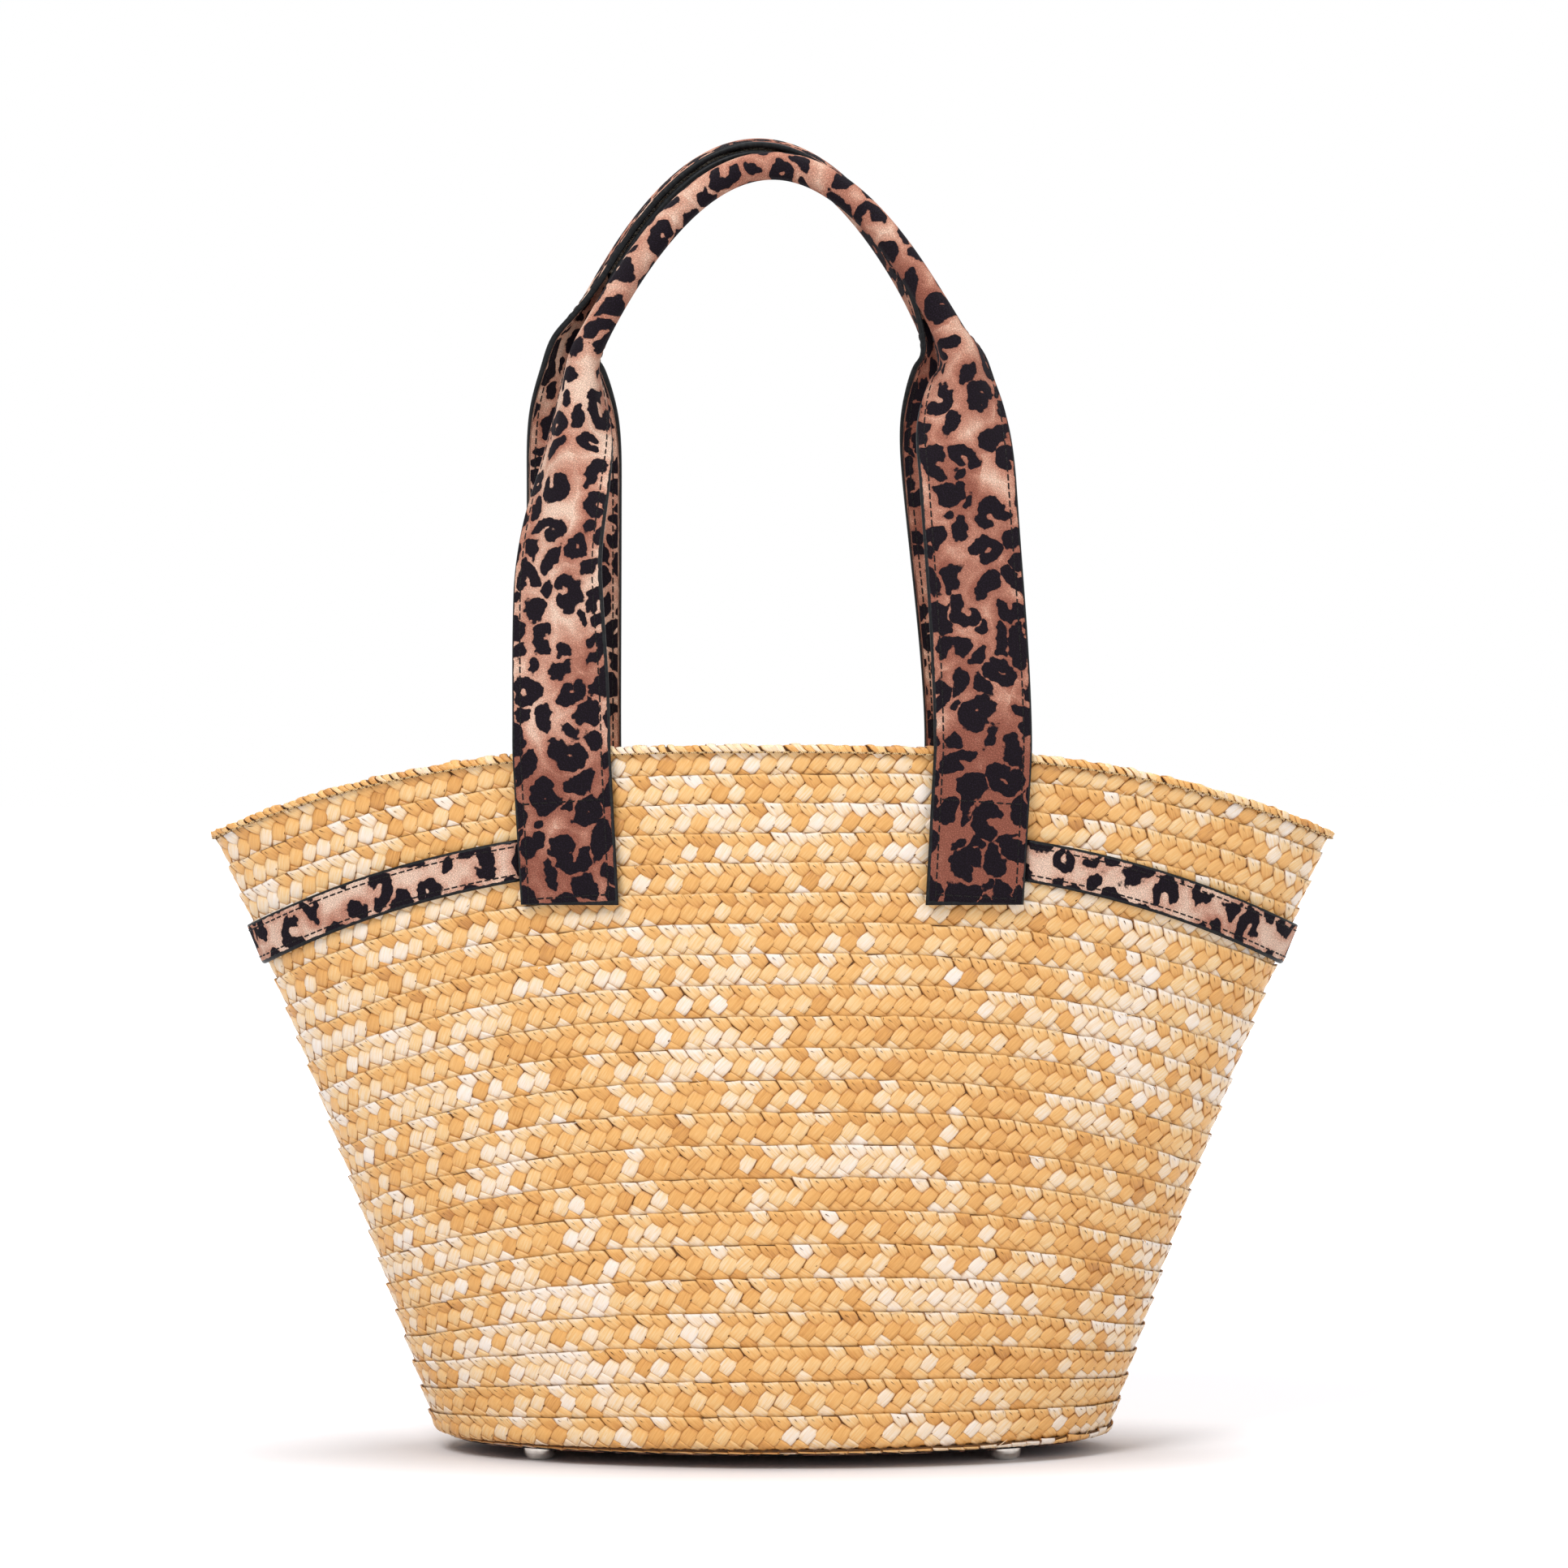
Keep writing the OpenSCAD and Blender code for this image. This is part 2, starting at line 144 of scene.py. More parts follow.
def wall_point(t, v, off):
    """Place on the wall: an oval whose length and depth grow with v, pinched at its ends, under an
    arched rim. Below v = 0 the surface turns round a corner and runs flat under the bag."""
    t, v, off = np.broadcast_arrays(np.asarray(t, float), np.asarray(v, float), np.asarray(off, float))
    up = np.maximum(v, 0)
    s, c = np.sin(t), np.cos(t)
    x = half_len(up) * c
    y = half_dep(up) * s * (1 - END_PINCH * up * (1 - np.abs(s)))
    z = WALL_Z0 + WALL_H * up
    z = z - RIM_DROP * (1 - np.maximum(1 - up, 0) ** RIM_EASE) * np.abs(c) ** RIM_POWER
    below = np.maximum(-v, 0) * WALL_H
    bend = np.minimum(below / CORNER_R, math.pi / 2)
    under = np.maximum(below - CORNER_R * math.pi / 2, 0)
    out = off * np.cos(bend) - CORNER_R * (1 - np.cos(bend)) - under
    drop = (CORNER_R + off) * np.sin(bend)
    return np.stack([x, y, z - drop], -1) + out[..., None] * wall_normal(t, up)


def angle_at(x, v):
    """Angle of the place that lies x to the side of the middle: half the length times its cosine is x."""
    return np.arccos(np.clip(x / half_len(v), -1, 1))


# Meshes

WELD_REACH = 1e-4


def grid_quads(rows, cols, close_rows=False, close_cols=False):
    """Corner numbers of the four-sided faces on a rows by cols grid."""
    i = np.arange(rows if close_rows else rows - 1)[:, None]
    j = np.arange(cols if close_cols else cols - 1)[None, :]
    k, m = (i + 1) % rows, (j + 1) % cols
    corners = np.broadcast_arrays(i * cols + j, i * cols + m, k * cols + m, k * cols + j)
    return np.stack(corners, -1).reshape(-1, 4)


def patch_quads(count, rows, cols, flip=False):
    """Faces of many separate grids of one size."""
    one = grid_quads(rows, cols)
    one = one[:, ::-1] if flip else one
    return (one[None] + (np.arange(count) * rows * cols)[:, None, None]).reshape(-1, 4)


def tube_faces(rows, cols, flip=False):
    """Four-sided faces of a tube of closed rings, and the caps of its two ends."""
    quads = grid_quads(rows, cols, close_cols=True)
    first = np.arange(cols)
    last = first + (rows - 1) * cols
    if flip:
        return quads[:, ::-1], [first, last[::-1]]
    return quads, [first[::-1], last]


def make_piece(name, points, quads, material, uv=None, fields=None, caps=(), weld=False):
    """Object from places in mm, four-sided faces and end caps, with a UV map and named fields.
    weld joins the places that meet in a tip or a pole."""
    mesh = bpy.data.meshes.new(name)
    points = np.asarray(points, float).reshape(-1, 3)
    mesh.from_pydata((points * MM).tolist(), [], quads.tolist() + [list(map(int, c)) for c in caps])
    corner = np.zeros(len(mesh.loops), np.int32)
    mesh.loops.foreach_get("vertex_index", corner)
    if uv is not None:
        layer = mesh.uv_layers.new(name="UVMap")
        layer.data.foreach_set("uv", np.asarray(uv, np.float32).reshape(-1, 2)[corner].ravel())
    for key, values in (fields or {}).items():
        field = mesh.attributes.new(key, "FLOAT", "POINT")
        field.data.foreach_set("value", np.asarray(values, np.float32).ravel())
    mesh.polygons.foreach_set("use_smooth", np.ones(len(mesh.polygons), bool))
    mesh.materials.append(material)
    if weld:
        joined = bmesh.new()
        joined.from_mesh(mesh)
        bmesh.ops.remove_doubles(joined, verts=joined.verts, dist=WELD_REACH * MM)
        joined.to_mesh(mesh)
        joined.free()
    mesh.validate()
    mesh.update()
    obj = bpy.data.objects.new(name, mesh)
    bpy.context.scene.collection.objects.link(obj)
    return obj


# Node helpers

def colour(code):
    """Linear colour from a six-digit code."""
    parts = [int(code[i:i + 2], 16) / 255 for i in (0, 2, 4)]
    return [p / 12.92 if p <= 0.04045 else ((p + 0.055) / 1.055) ** 2.4 for p in parts] + [1.0]


def add(tree, kind, links=None, **settings):
    """Node with its settings, whose inputs take a value or another node's output."""
    node = tree.nodes.new(kind)
    for key, value in settings.items():
        setattr(node, key, value)
    for key, value in (links or {}).items():
        if isinstance(value, bpy.types.NodeSocket):
            tree.links.new(value, node.inputs[key])
        else:
            node.inputs[key].default_value = value
    return node


def calc(tree, operation, *values):
    """Output of a math node."""
    node = add(tree, "ShaderNodeMath", dict(enumerate(values)), operation=operation)
    return node.outputs[0]


def vector(tree, operation, *values):
    """Output of a vector math node: a number for a length, or else a vector."""
    node = add(tree, "ShaderNodeVectorMath", dict(enumerate(values)), operation=operation)
    return node.outputs["Value" if operation == "LENGTH" else "Vector"]


def turned(tree, place, angle):
    """Place turned round the origin in the plane of the pattern."""
    links = {"Vector": place, "Angle": angle}
    return add(tree, "ShaderNodeVectorRotate", links, rotation_type="Z_AXIS").outputs[0]


def span(tree, value, low, high, to_low=0.0, to_high=1.0):
    """Smooth change from to_low to to_high while value goes from low to high."""
    inputs = {"Value": value, "From Min": low, "From Max": high, "To Min": to_low, "To Max": to_high}
    return add(tree, "ShaderNodeMapRange", inputs, interpolation_type="SMOOTHSTEP").outputs[0]


def blend(tree, factor, a, b, mode="MIX"):
    """Colour a, which goes over to b, or to a times b in MULTIPLY mode, as factor goes from 0 to 1."""
    node = add(tree, "ShaderNodeMix", {0: factor, 6: a, 7: b}, data_type="RGBA", blend_type=mode)
    return node.outputs[2]


def noise(tree, place, scale, detail=2.0, rough=0.5, out=0):
    """Cloudy random pattern: its value, or its colour where out is 1."""
    links = {"Vector": place, "Scale": scale, "Detail": detail, "Roughness": rough}
    return add(tree, "ShaderNodeTexNoise", links).outputs[out]


def ramp(tree, value, stops):
    """Colour that goes through the stops, each a place from 0 to 1 and a colour code."""
    node = add(tree, "ShaderNodeValToRGB", {0: value})
    marks = node.color_ramp.elements
    while len(marks) < len(stops):
        marks.new(0.5)
    for mark, (place, code) in zip(marks, stops):
        mark.position = place
        mark.color = colour(code)
    return node.outputs[0]


def field(tree, name):
    """Value that the mesh carries under this name."""
    return add(tree, "ShaderNodeAttribute", attribute_name=name).outputs["Fac"]


def uv_place(tree):
    """Place on the piece's own UV map, in millimetres."""
    return add(tree, "ShaderNodeTexCoord").outputs["UV"]


def mm_place(tree):
    """Object coordinates in millimetres."""
    at = add(tree, "ShaderNodeTexCoord").outputs["Object"]
    return vector(tree, "MULTIPLY", at, (1 / MM, 1 / MM, 1 / MM))


def new_material(name):
    """Material with its tree and its one surface shader."""
    material = bpy.data.materials.new(name)
    material.use_nodes = True
    tree = material.node_tree
    return material, tree, tree.nodes["Principled BSDF"]


def new_group(name, inputs, outputs):
    """Empty shader node group with its sockets, and its input and output nodes."""
    tree = bpy.data.node_groups.new(name, "ShaderNodeTree")
    for key, kind in inputs:
        tree.interface.new_socket(key, in_out="INPUT", socket_type=kind)
    for key, kind in outputs:
        tree.interface.new_socket(key, in_out="OUTPUT", socket_type=kind)
    return tree, tree.nodes.new("NodeGroupInput"), tree.nodes.new("NodeGroupOutput")


def use_group(tree, group, links):
    """Node that places a shared group."""
    return add(tree, "ShaderNodeGroup", links, node_tree=group)


def bump(tree, shader, height, distance, strength=1.0):
    """Fine relief: the height times a distance in metres."""
    links = {"Height": height, "Distance": distance, "Strength": strength}
    tree.links.new(add(tree, "ShaderNodeBump", links).outputs[0], shader.inputs["Normal"])


def feed(tree, shader, **outputs):
    """Link outputs to the shader's inputs of the same name, with an underscore for a space."""
    for key, value in outputs.items():
        tree.links.new(value, shader.inputs[key.replace("_", " ")])


VALUE, VECTOR = "NodeSocketFloat", "NodeSocketVector"


# Shared effects

def make_fibre_group():
    """Straw fibres: noise drawn out along the strand, a coarse and a fine layer."""
    tree, ins, outs = new_group("straw_fibres", [("Place", VECTOR)], [("Streak", VALUE)])
    streak = []
    for across, along in ((1.5, 0.1), (5.0, 0.22)):
        place = vector(tree, "MULTIPLY", ins.outputs["Place"], (across, along, 1.0))
        streak.append(noise(tree, place, 1.0, 2.0))
    both = calc(tree, "MULTIPLY_ADD", streak[0], 0.65, calc(tree, "MULTIPLY", streak[1], 0.35))
    tree.links.new(both, outs.inputs["Streak"])
    return tree


SPOT_CELL, SPOT_STRAY = (18.5, 20.5), 0.3
PRINT_SLANT, HAIR_SLANT = 0.35, 0.9


def spot_cells(tree, place, shift, lot):
    """Square cells: the middle of the spot in each cell, the way from it in mm, and random numbers."""
    size = (SPOT_CELL[0], SPOT_CELL[1], 1.0)
    at = vector(tree, "ADD", vector(tree, "DIVIDE", place, size), (shift[0], shift[1], 0.0))
    cell = vector(tree, "MULTIPLY_ADD", vector(tree, "FLOOR", at), (1, 1, 0), (0, 0, lot))
    picks = []
    for more in (0.0, 0.5):
        chance = add(tree, "ShaderNodeTexWhiteNoise", {0: vector(tree, "ADD", cell, (0, 0, more))})
        picks.append(chance.outputs["Color"])
    middle = vector(tree, "MULTIPLY_ADD", picks[0], (SPOT_STRAY, SPOT_STRAY, 0.0), cell)
    centre = (1 - SPOT_STRAY) / 2
    middle = vector(tree, "ADD", middle, (centre - shift[0], centre - shift[1], 0.0))
    middle = vector(tree, "MULTIPLY", vector(tree, "MULTIPLY", middle, size), (1, 1, 0))
    away = vector(tree, "SUBTRACT", vector(tree, "MULTIPLY", place, (1, 1, 0)), middle)
    return middle, away, add(tree, "ShaderNodeSeparateColor", {0: picks[1]}).outputs


def turned_parts(tree, away, angle):
    """The parts of the way from a spot's middle, across and along the turned spot."""
    return add(tree, "ShaderNodeSeparateXYZ", {0: turned(tree, away, angle)}).outputs


def length_of(tree, x, y):
    """Length of the way with these two parts."""
    return vector(tree, "LENGTH", add(tree, "ShaderNodeCombineXYZ", {0: x, 1: y}).outputs[0])


def make_arc_group():
    """Distance in mm to the arc spots: each is a thick arc with round ends, of its own turn and
    opening."""
    tree, ins, outs = new_group("arc_spots", [("Place", VECTOR), ("Fullness", VALUE)], [("Away", VALUE)])
    _, away, pick = spot_cells(tree, ins.outputs["Place"], (0.0, 0.0), 1.0)
    part = turned_parts(tree, away, calc(tree, "MULTIPLY", pick[0], TAU))
    x, y = calc(tree, "ABSOLUTE", part[0]), part[1]
    half = calc(tree, "MULTIPLY_ADD", pick[1], 1.1, 1.5)
    sine, cosine = calc(tree, "SINE", half), calc(tree, "COSINE", half)
    radius = calc(tree, "MULTIPLY_ADD", pick[2], 1.2, 3.1)
    past = calc(tree, "GREATER_THAN", calc(tree, "MULTIPLY", cosine, x), calc(tree, "MULTIPLY", sine, y))
    to_end = length_of(tree, calc(tree, "SUBTRACT", x, calc(tree, "MULTIPLY", sine, radius)),
                       calc(tree, "SUBTRACT", y, calc(tree, "MULTIPLY", cosine, radius)))
    to_arc = calc(tree, "ABSOLUTE", calc(tree, "SUBTRACT", length_of(tree, x, y), radius))
    far = add(tree, "ShaderNodeMix", {0: past, 2: to_arc, 3: to_end}).outputs[0]
    width = calc(tree, "MULTIPLY_ADD", ins.outputs["Fullness"], 0.45, 2.45)
    tree.links.new(calc(tree, "SUBTRACT", far, width), outs.inputs["Away"])
    return tree


def make_oval_group(name, under, shift, lot, low, high):
    """Distance in mm to the spots of the group under it and to ovals laid between them: each oval is
    long, has its own slant and bend, and is as wide as the room allows."""
    tree, ins, outs = new_group(name, [("Place", VECTOR), ("Fullness", VALUE)], [("Away", VALUE)])
    place, full = ins.outputs["Place"], ins.outputs["Fullness"]
    middle, away, pick = spot_cells(tree, place, shift, lot)
    below = use_group(tree, under, {"Place": place, "Fullness": full}).outputs["Away"]
    room = use_group(tree, under, {"Place": middle, "Fullness": full}).outputs["Away"]
    gap = calc(tree, "MULTIPLY_ADD", full, -0.6, 1.6)
    part = turned_parts(tree, away, calc(tree, "MULTIPLY_ADD", pick[0], 1.1, -0.55))
    most = calc(tree, "MULTIPLY_ADD", pick[1], high - low, calc(tree, "MULTIPLY_ADD", full, 0.7, low))
    width = calc(tree, "MINIMUM", most, calc(tree, "SUBTRACT", room, gap))
    width = calc(tree, "MULTIPLY_ADD", calc(tree, "LESS_THAN", width, 1.5), -9.0, width)
    bend = calc(tree, "MULTIPLY_ADD", pick[2], 0.14, -0.07)
    x = calc(tree, "MULTIPLY_ADD", calc(tree, "MULTIPLY", part[1], part[1]), bend, part[0])
    y = calc(tree, "MULTIPLY", part[1], calc(tree, "MULTIPLY_ADD", pick[2], 0.3, 0.5))
    oval = calc(tree, "SUBTRACT", length_of(tree, x, y), width)
    oval = calc(tree, "SMOOTH_MAX", oval, calc(tree, "SUBTRACT", gap, below), 2.0)
    tree.links.new(calc(tree, "MINIMUM", below, oval), outs.inputs["Away"])
    return tree


def make_print_group():
    """Animal spots: arcs, and ovals between them, with wandering places and lumpy outlines. Away is the
    distance in mm from the spots."""
    tree, ins, outs = new_group(
        "animal_spots", [("Place", VECTOR), ("Fullness", VALUE)], [("Spot", VALUE), ("Away", VALUE)])
    start = place = ins.outputs["Place"]
    for scale, reach in ((0.05, 11.0), (0.17, 3.6), (0.5, 0.6)):
        shake = vector(tree, "SUBTRACT", noise(tree, start, scale, 0.0, out=1), (0.5, 0.5, 0.5))
        place = vector(tree, "MULTIPLY_ADD", shake, (reach, reach, 0.0), place)
    place = turned(tree, place, PRINT_SLANT)
    spots = make_arc_group()
    layers = (((0.5, 0.5), 3.2, 4.4), ((0.5, 0.0), 2.7, 4.0), ((0.0, 0.5), 2.3, 3.8))
    for step, (shift, low, high) in enumerate(layers):
        spots = make_oval_group(f"oval_spots_{step + 1}", spots, shift, step + 2.0, low, high)
    edge = use_group(tree, spots, {"Place": place, "Fullness": ins.outputs["Fullness"]}).outputs["Away"]
    lumps = span(tree, noise(tree, start, 0.32, 1.0), 0.25, 0.75, -0.75, 0.4)
    ragged = span(tree, noise(tree, start, 1.8, 1.0), 0.25, 0.75, -0.09, 0.09)
    edge = calc(tree, "ADD", calc(tree, "ADD", edge, lumps), ragged)
    tree.links.new(span(tree, edge, -0.18, 0.24, 1.0, 0.0), outs.inputs["Spot"])
    tree.links.new(edge, outs.inputs["Away"])
    return tree


def make_cloth_group():
    """Brushed cloth: fine specks and short slanted hairs."""
    results = [("Grain", VALUE), ("Hair", VALUE), ("Speck", VALUE)]
    tree, ins, outs = new_group("cloth_grain", [("Place", VECTOR)], results)
    grain = noise(tree, ins.outputs["Place"], 2.6, 3.0, 0.7)
    slant = turned(tree, ins.outputs["Place"], HAIR_SLANT)
    hair = noise(tree, vector(tree, "MULTIPLY", slant, (4.0, 0.9, 1.0)), 1.0, 1.0)
    speck = noise(tree, vector(tree, "MULTIPLY", slant, (2.6, 1.7, 1.0)), 1.0, 2.0, 0.6)
    tree.links.new(span(tree, speck, 0.47, 0.66), outs.inputs["Speck"])
    tree.links.new(grain, outs.inputs["Grain"])
    tree.links.new(hair, outs.inputs["Hair"])
    return tree


FIBRES, PRINT, CLOTH = make_fibre_group(), make_print_group(), make_cloth_group()
STRAW_TONES = [(0.0, "b97d3e"), (0.22, "d99d54"), (0.45, "e8b26a"), (0.66, "edc890"),
               (0.84, "f0dbc0"), (1.0, "f3e8dc")]
# Colours of the painted shade on the strands: along their edges, and in their shaded parts
STRAND_EDGE_SHADE, STRAND_SHADE = "a0652a", "aa6c2c"
GROUND_TONES = [(0.0, "8b5344"), (0.4, "b27b67"), (0.75, "cb9f8a"), (1.0, "dfc0ac")]
INK_TONES = ("110b10", "241c27")
PAINT_TONES = [(0.3, "121315"), (0.75, "26282a")]


def straw_material(name, tones, deepest_shade_code):
    """Split straw: each strand has its tone, with streaks and a satin face. Painted shade darkens its
    edges and the places where its dark field is high.
    """
    material, tree, shader = new_material(name)
    streak = use_group(tree, FIBRES, {"Place": uv_place(tree)}).outputs["Streak"]
    tone = calc(tree, "ADD", field(tree, "tone"), span(tree, streak, 0.28, 0.72, -0.13, 0.13))
    weather = noise(tree, mm_place(tree), 0.02, 2.0)
    tone = calc(tree, "ADD", tone, span(tree, weather, 0.3, 0.7, -0.05, 0.05))
    base = ramp(tree, tone, tones)
    across = field(tree, "across")
    # Painted shade in the gaps: each strand darkens to the edge shade colour near both long edges
    rim = calc(tree, "MINIMUM", across, calc(tree, "SUBTRACT", 1.0, across))
    base = blend(tree, span(tree, rim, 0.0, 0.06, 0.7, 0.0), base, colour(STRAND_EDGE_SHADE))
    # Painted shade from the dark field: first brown, then the deepest shade colour
    base = blend(tree, span(tree, field(tree, "dark"), 0.05, 0.6), base, colour(STRAND_SHADE))
    base = blend(tree, span(tree, field(tree, "dark"), 0.6, 1.0), base, colour(deepest_shade_code))
    feed(tree, shader, Base_Color=base, Roughness=span(tree, streak, 0.3, 0.7, 0.3, 0.48))
    shader.inputs["Specular IOR Level"].default_value = 0.45
    bump(tree, shader, streak, 0.00025)
    return material


def shaded_straw(name, dark, light):
    """Shaded straw seen in the gaps of the plait."""
    material, tree, shader = new_material(name)
    streak = noise(tree, mm_place(tree), 0.6, 3.0)
    feed(tree, shader, Base_Color=ramp(tree, streak, [(0.3, dark), (0.7, light)]),
         Roughness=span(tree, streak, 0.2, 0.8, 0.7, 0.9))
    bump(tree, shader, streak, 0.0003)
    return material


def print_fullness(tree, ends):
    """Fullness of the spots: more near the sewn ends and on dark cloth, less on the palest cloth."""
    darker = span(tree, field(tree, "pale"), DARK_LEG, 0.0, 0.7, 0.0)
    sparse = span(tree, field(tree, "pale"), 0.78, 1.0, 0.0, 0.55)
    return calc(tree, "SUBTRACT", calc(tree, "MULTIPLY_ADD", darker, 1.1, ends), sparse)


def print_ground(tree, place, ends, away, cloth):
    """Ground of the print, from terracotta to cream: paler in patches and away from the spots, darker
    near the sewn ends, and speckled by the grain of the cloth."""
    patchy = noise(tree, vector(tree, "MULTIPLY", place, (1.0, 0.55, 1.0)), 0.06, 1.0)
    pale = calc(tree, "MULTIPLY_ADD", away, 0.3, -1.9)
    pale = calc(tree, "MULTIPLY_ADD", patchy, 5.5, pale)
    pale = calc(tree, "SUBTRACT", pale, calc(tree, "MULTIPLY", ends, 2.3))
    pale = calc(tree, "ADD", pale, field(tree, "pale"))
    pale = calc(tree, "ADD", pale, span(tree, cloth["Hair"], 0.3, 0.7, -0.35, 0.35))
    tone = ramp(tree, span(tree, pale, -0.6, 3.6), GROUND_TONES)
    light = span(tree, cloth["Grain"], 0.28, 0.72, 0.6, 1.06)
    light = calc(tree, "MULTIPLY_ADD", cloth["Speck"], 0.55, light)
    grey = add(tree, "ShaderNodeCombineColor", {0: light, 1: light, 2: light}).outputs[0]
    return blend(tree, 1.0, tone, grey, "MULTIPLY")


def print_material():
    """Printed brushed cloth: dark spots on the ground, and paint on the last millimetre to each edge."""
    material, tree, shader = new_material("printed_strap_cloth")
    place = uv_place(tree)
    ends = span(tree, field(tree, "end_mm"), 40.0, 85.0, 1.0, 0.0)
    spots = use_group(tree, PRINT, {"Place": place, "Fullness": print_fullness(tree, ends)}).outputs
    cloth = use_group(tree, CLOTH, {"Place": place}).outputs
    ground = print_ground(tree, place, ends, spots["Away"], cloth)
    ink = blend(tree, cloth["Speck"], *(colour(code) for code in INK_TONES))
    face = blend(tree, spots["Spot"], ground, ink)
    edge = calc(tree, "MINIMUM", field(tree, "edge_mm"), field(tree, "end_mm"))
    wobble = span(tree, noise(tree, place, 0.4, 2.0), 0.3, 0.7, -0.15, 0.15)
    paint = span(tree, calc(tree, "ADD", edge, wobble), 0.95, 1.15, 1.0, 0.0)
    paint_tone = ramp(tree, noise(tree, place, 0.7, 3.0), PAINT_TONES)
    rough = span(tree, cloth["Grain"], 0.2, 0.8, 0.95, 0.8)
    rough = calc(tree, "MULTIPLY_ADD", paint, -0.5, rough)
    feed(tree, shader, Base_Color=blend(tree, paint, face, paint_tone), Roughness=rough)
    shader.inputs["Specular IOR Level"].default_value = 0.12
    height = calc(tree, "MULTIPLY", cloth["Grain"], calc(tree, "SUBTRACT", 1.0, paint))
    bump(tree, shader, height, 0.0003, 0.6)
    return material


def plies(tree, place, scale, wander):
    """Slanted plies of a twisted thread or cord: diagonal waves that wander a little."""
    links = {"Vector": place, "Scale": scale, "Distortion": wander}
    return add(tree, "ShaderNodeTexWave", links, bands_direction="DIAGONAL").outputs["Fac"]


def thread_material(name, dark, light):
    """Twisted sewing thread: slanted plies along the stitch."""
    material, tree, shader = new_material(name)
    ply = plies(tree, uv_place(tree), 0.7, 0.6)
    feed(tree, shader, Base_Color=ramp(tree, ply, [(0.2, dark), (0.8, light)]),
         Roughness=span(tree, ply, 0.0, 1.0, 0.75, 0.5))
    shader.inputs["Specular IOR Level"].default_value = 0.2
    bump(tree, shader, ply, 0.0002)
    return material


def lining_material():
    """Plain cotton: crossing threads from two rows of waves, with slubs."""
    material, tree, shader = new_material("lining_cotton")
    part = add(tree, "ShaderNodeSeparateXYZ", {0: uv_place(tree)}).outputs
    rows = [calc(tree, "SINE", calc(tree, "MULTIPLY", p, 2.1 * math.pi)) for p in part[:2]]
    weave = calc(tree, "MULTIPLY", rows[0], rows[1])
    slub = noise(tree, vector(tree, "MULTIPLY", uv_place(tree), (0.1, 1.6, 1.0)), 1.0, 3.0)
    tone = calc(tree, "MULTIPLY_ADD", weave, 0.16, span(tree, slub, 0.25, 0.75, 0.25, 0.75))
    feed(tree, shader, Base_Color=ramp(tree, tone, [(0.0, "cdbf9f"), (0.5, "e2d8bf"), (1.0, "efe8d6")]),
         Roughness=span(tree, slub, 0.2, 0.8, 0.85, 0.97))
    bump(tree, shader, tone, 0.0004)
    return material


def metal_material(name, tones, rough):
    """Plated metal: faint cloudy polish marks and fine scratches."""
    material, tree, shader = new_material(name)
    place = mm_place(tree)
    cloud = noise(tree, place, 0.35, 3.0)
    scratch = noise(tree, vector(tree, "MULTIPLY", place, (6.0, 0.6, 0.6)), 1.0, 2.0)
    feed(tree, shader, Base_Color=ramp(tree, cloud, [(0.3, tones[0]), (0.7, tones[1])]),
         Roughness=span(tree, scratch, 0.3, 0.7, rough, rough + 0.12))
    shader.inputs["Metallic"].default_value = 1.0
    bump(tree, shader, scratch, 0.00004)
    return material


def board_material():
    """Grey-brown pressed board with fibre flecks."""
    material, tree, shader = new_material("pressed_board")
    fleck = noise(tree, mm_place(tree), 1.1, 4.0, 0.7)
    feed(tree, shader, Base_Color=ramp(tree, fleck, [(0.3, "9a7f58"), (0.7, "c4aa80")]),
         Roughness=span(tree, fleck, 0.2, 0.8, 0.8, 0.95))
    bump(tree, shader, fleck, 0.0002)
    return material


def filler_material():
    """Soft white cotton cord with slanted plies."""
    material, tree, shader = new_material("filler_cotton")
    ply = plies(tree, mm_place(tree), 0.25, 1.5)
    feed(tree, shader, Base_Color=ramp(tree, ply, [(0.1, "cfc5b0"), (0.9, "f2ecde")]),
         Roughness=span(tree, ply, 0.0, 1.0, 0.95, 0.8))
    bump(tree, shader, ply, 0.0005)
    return material


STRAW = straw_material("straw_strands", STRAW_TONES, "38200c")
EDGING = straw_material("straw_edging_bits", STRAW_TONES, "2c180a")
SHADOW = shaded_straw("straw_shadow", "3c220a", "704818")
# Painted shade for the slits and gaps of the plait
SLIT_SHADE = shaded_straw("straw_slit_shade", "4a2c0e", "8a5a24")
PRINTED = print_material()
DARK_THREAD = thread_material("dark_thread", "060405", "191315")
CREAM_THREAD = thread_material("cream_thread", "b48a52", "e6c998")
COTTON = lining_material()
NICKEL = metal_material("bright_nickel", ("cfcdc8", "e9e7e2"), 0.12)
STEEL = metal_material("washer_steel", ("8f9296", "b4b7ba"), 0.3)
BOARD = board_material()
FILLER = filler_material()


# Plait: one long strip sewn in a rising spiral

PERIOD = 6.8
Q_FIRST, Q_LAST = -1.25, COURSES + 0.02
TOP_CLEAR = 2.2
COURSE_SHARE, COURSE_GROWTH = 0.0412, 0.00022
STRAND_TURN, STRAND_MOVE, STRAND_LEAN = 0.045, 0.18, 0.06
SKIRT_H = -0.55
# Strengths of the painted shade on the strands: skirts, edges, ends, and the part under the next course
SKIRT_SHADE, EDGE_SHADE, END_SHADE, LAP_SHADE = 0.62, 0.08, 0.35, 0.32
LOWEST_V = -0.055
FRAYED_ENDS = 420


def course_v(below):
    """Height share of a line that lies so many courses below the rim: the courses widen downwards."""
    return 1 - (COURSE_SHARE * below + COURSE_GROWTH * below ** 2)


def course_pitch(below):
    """Height in mm of a course that lies so many courses below the rim."""
    return WALL_H * (COURSE_SHARE + 2 * COURSE_GROWTH * below)


def spiral_angle(q):
    """Angle round the bag after q turns, counted from the middle of the back."""
    return math.pi / 2 + TAU * q


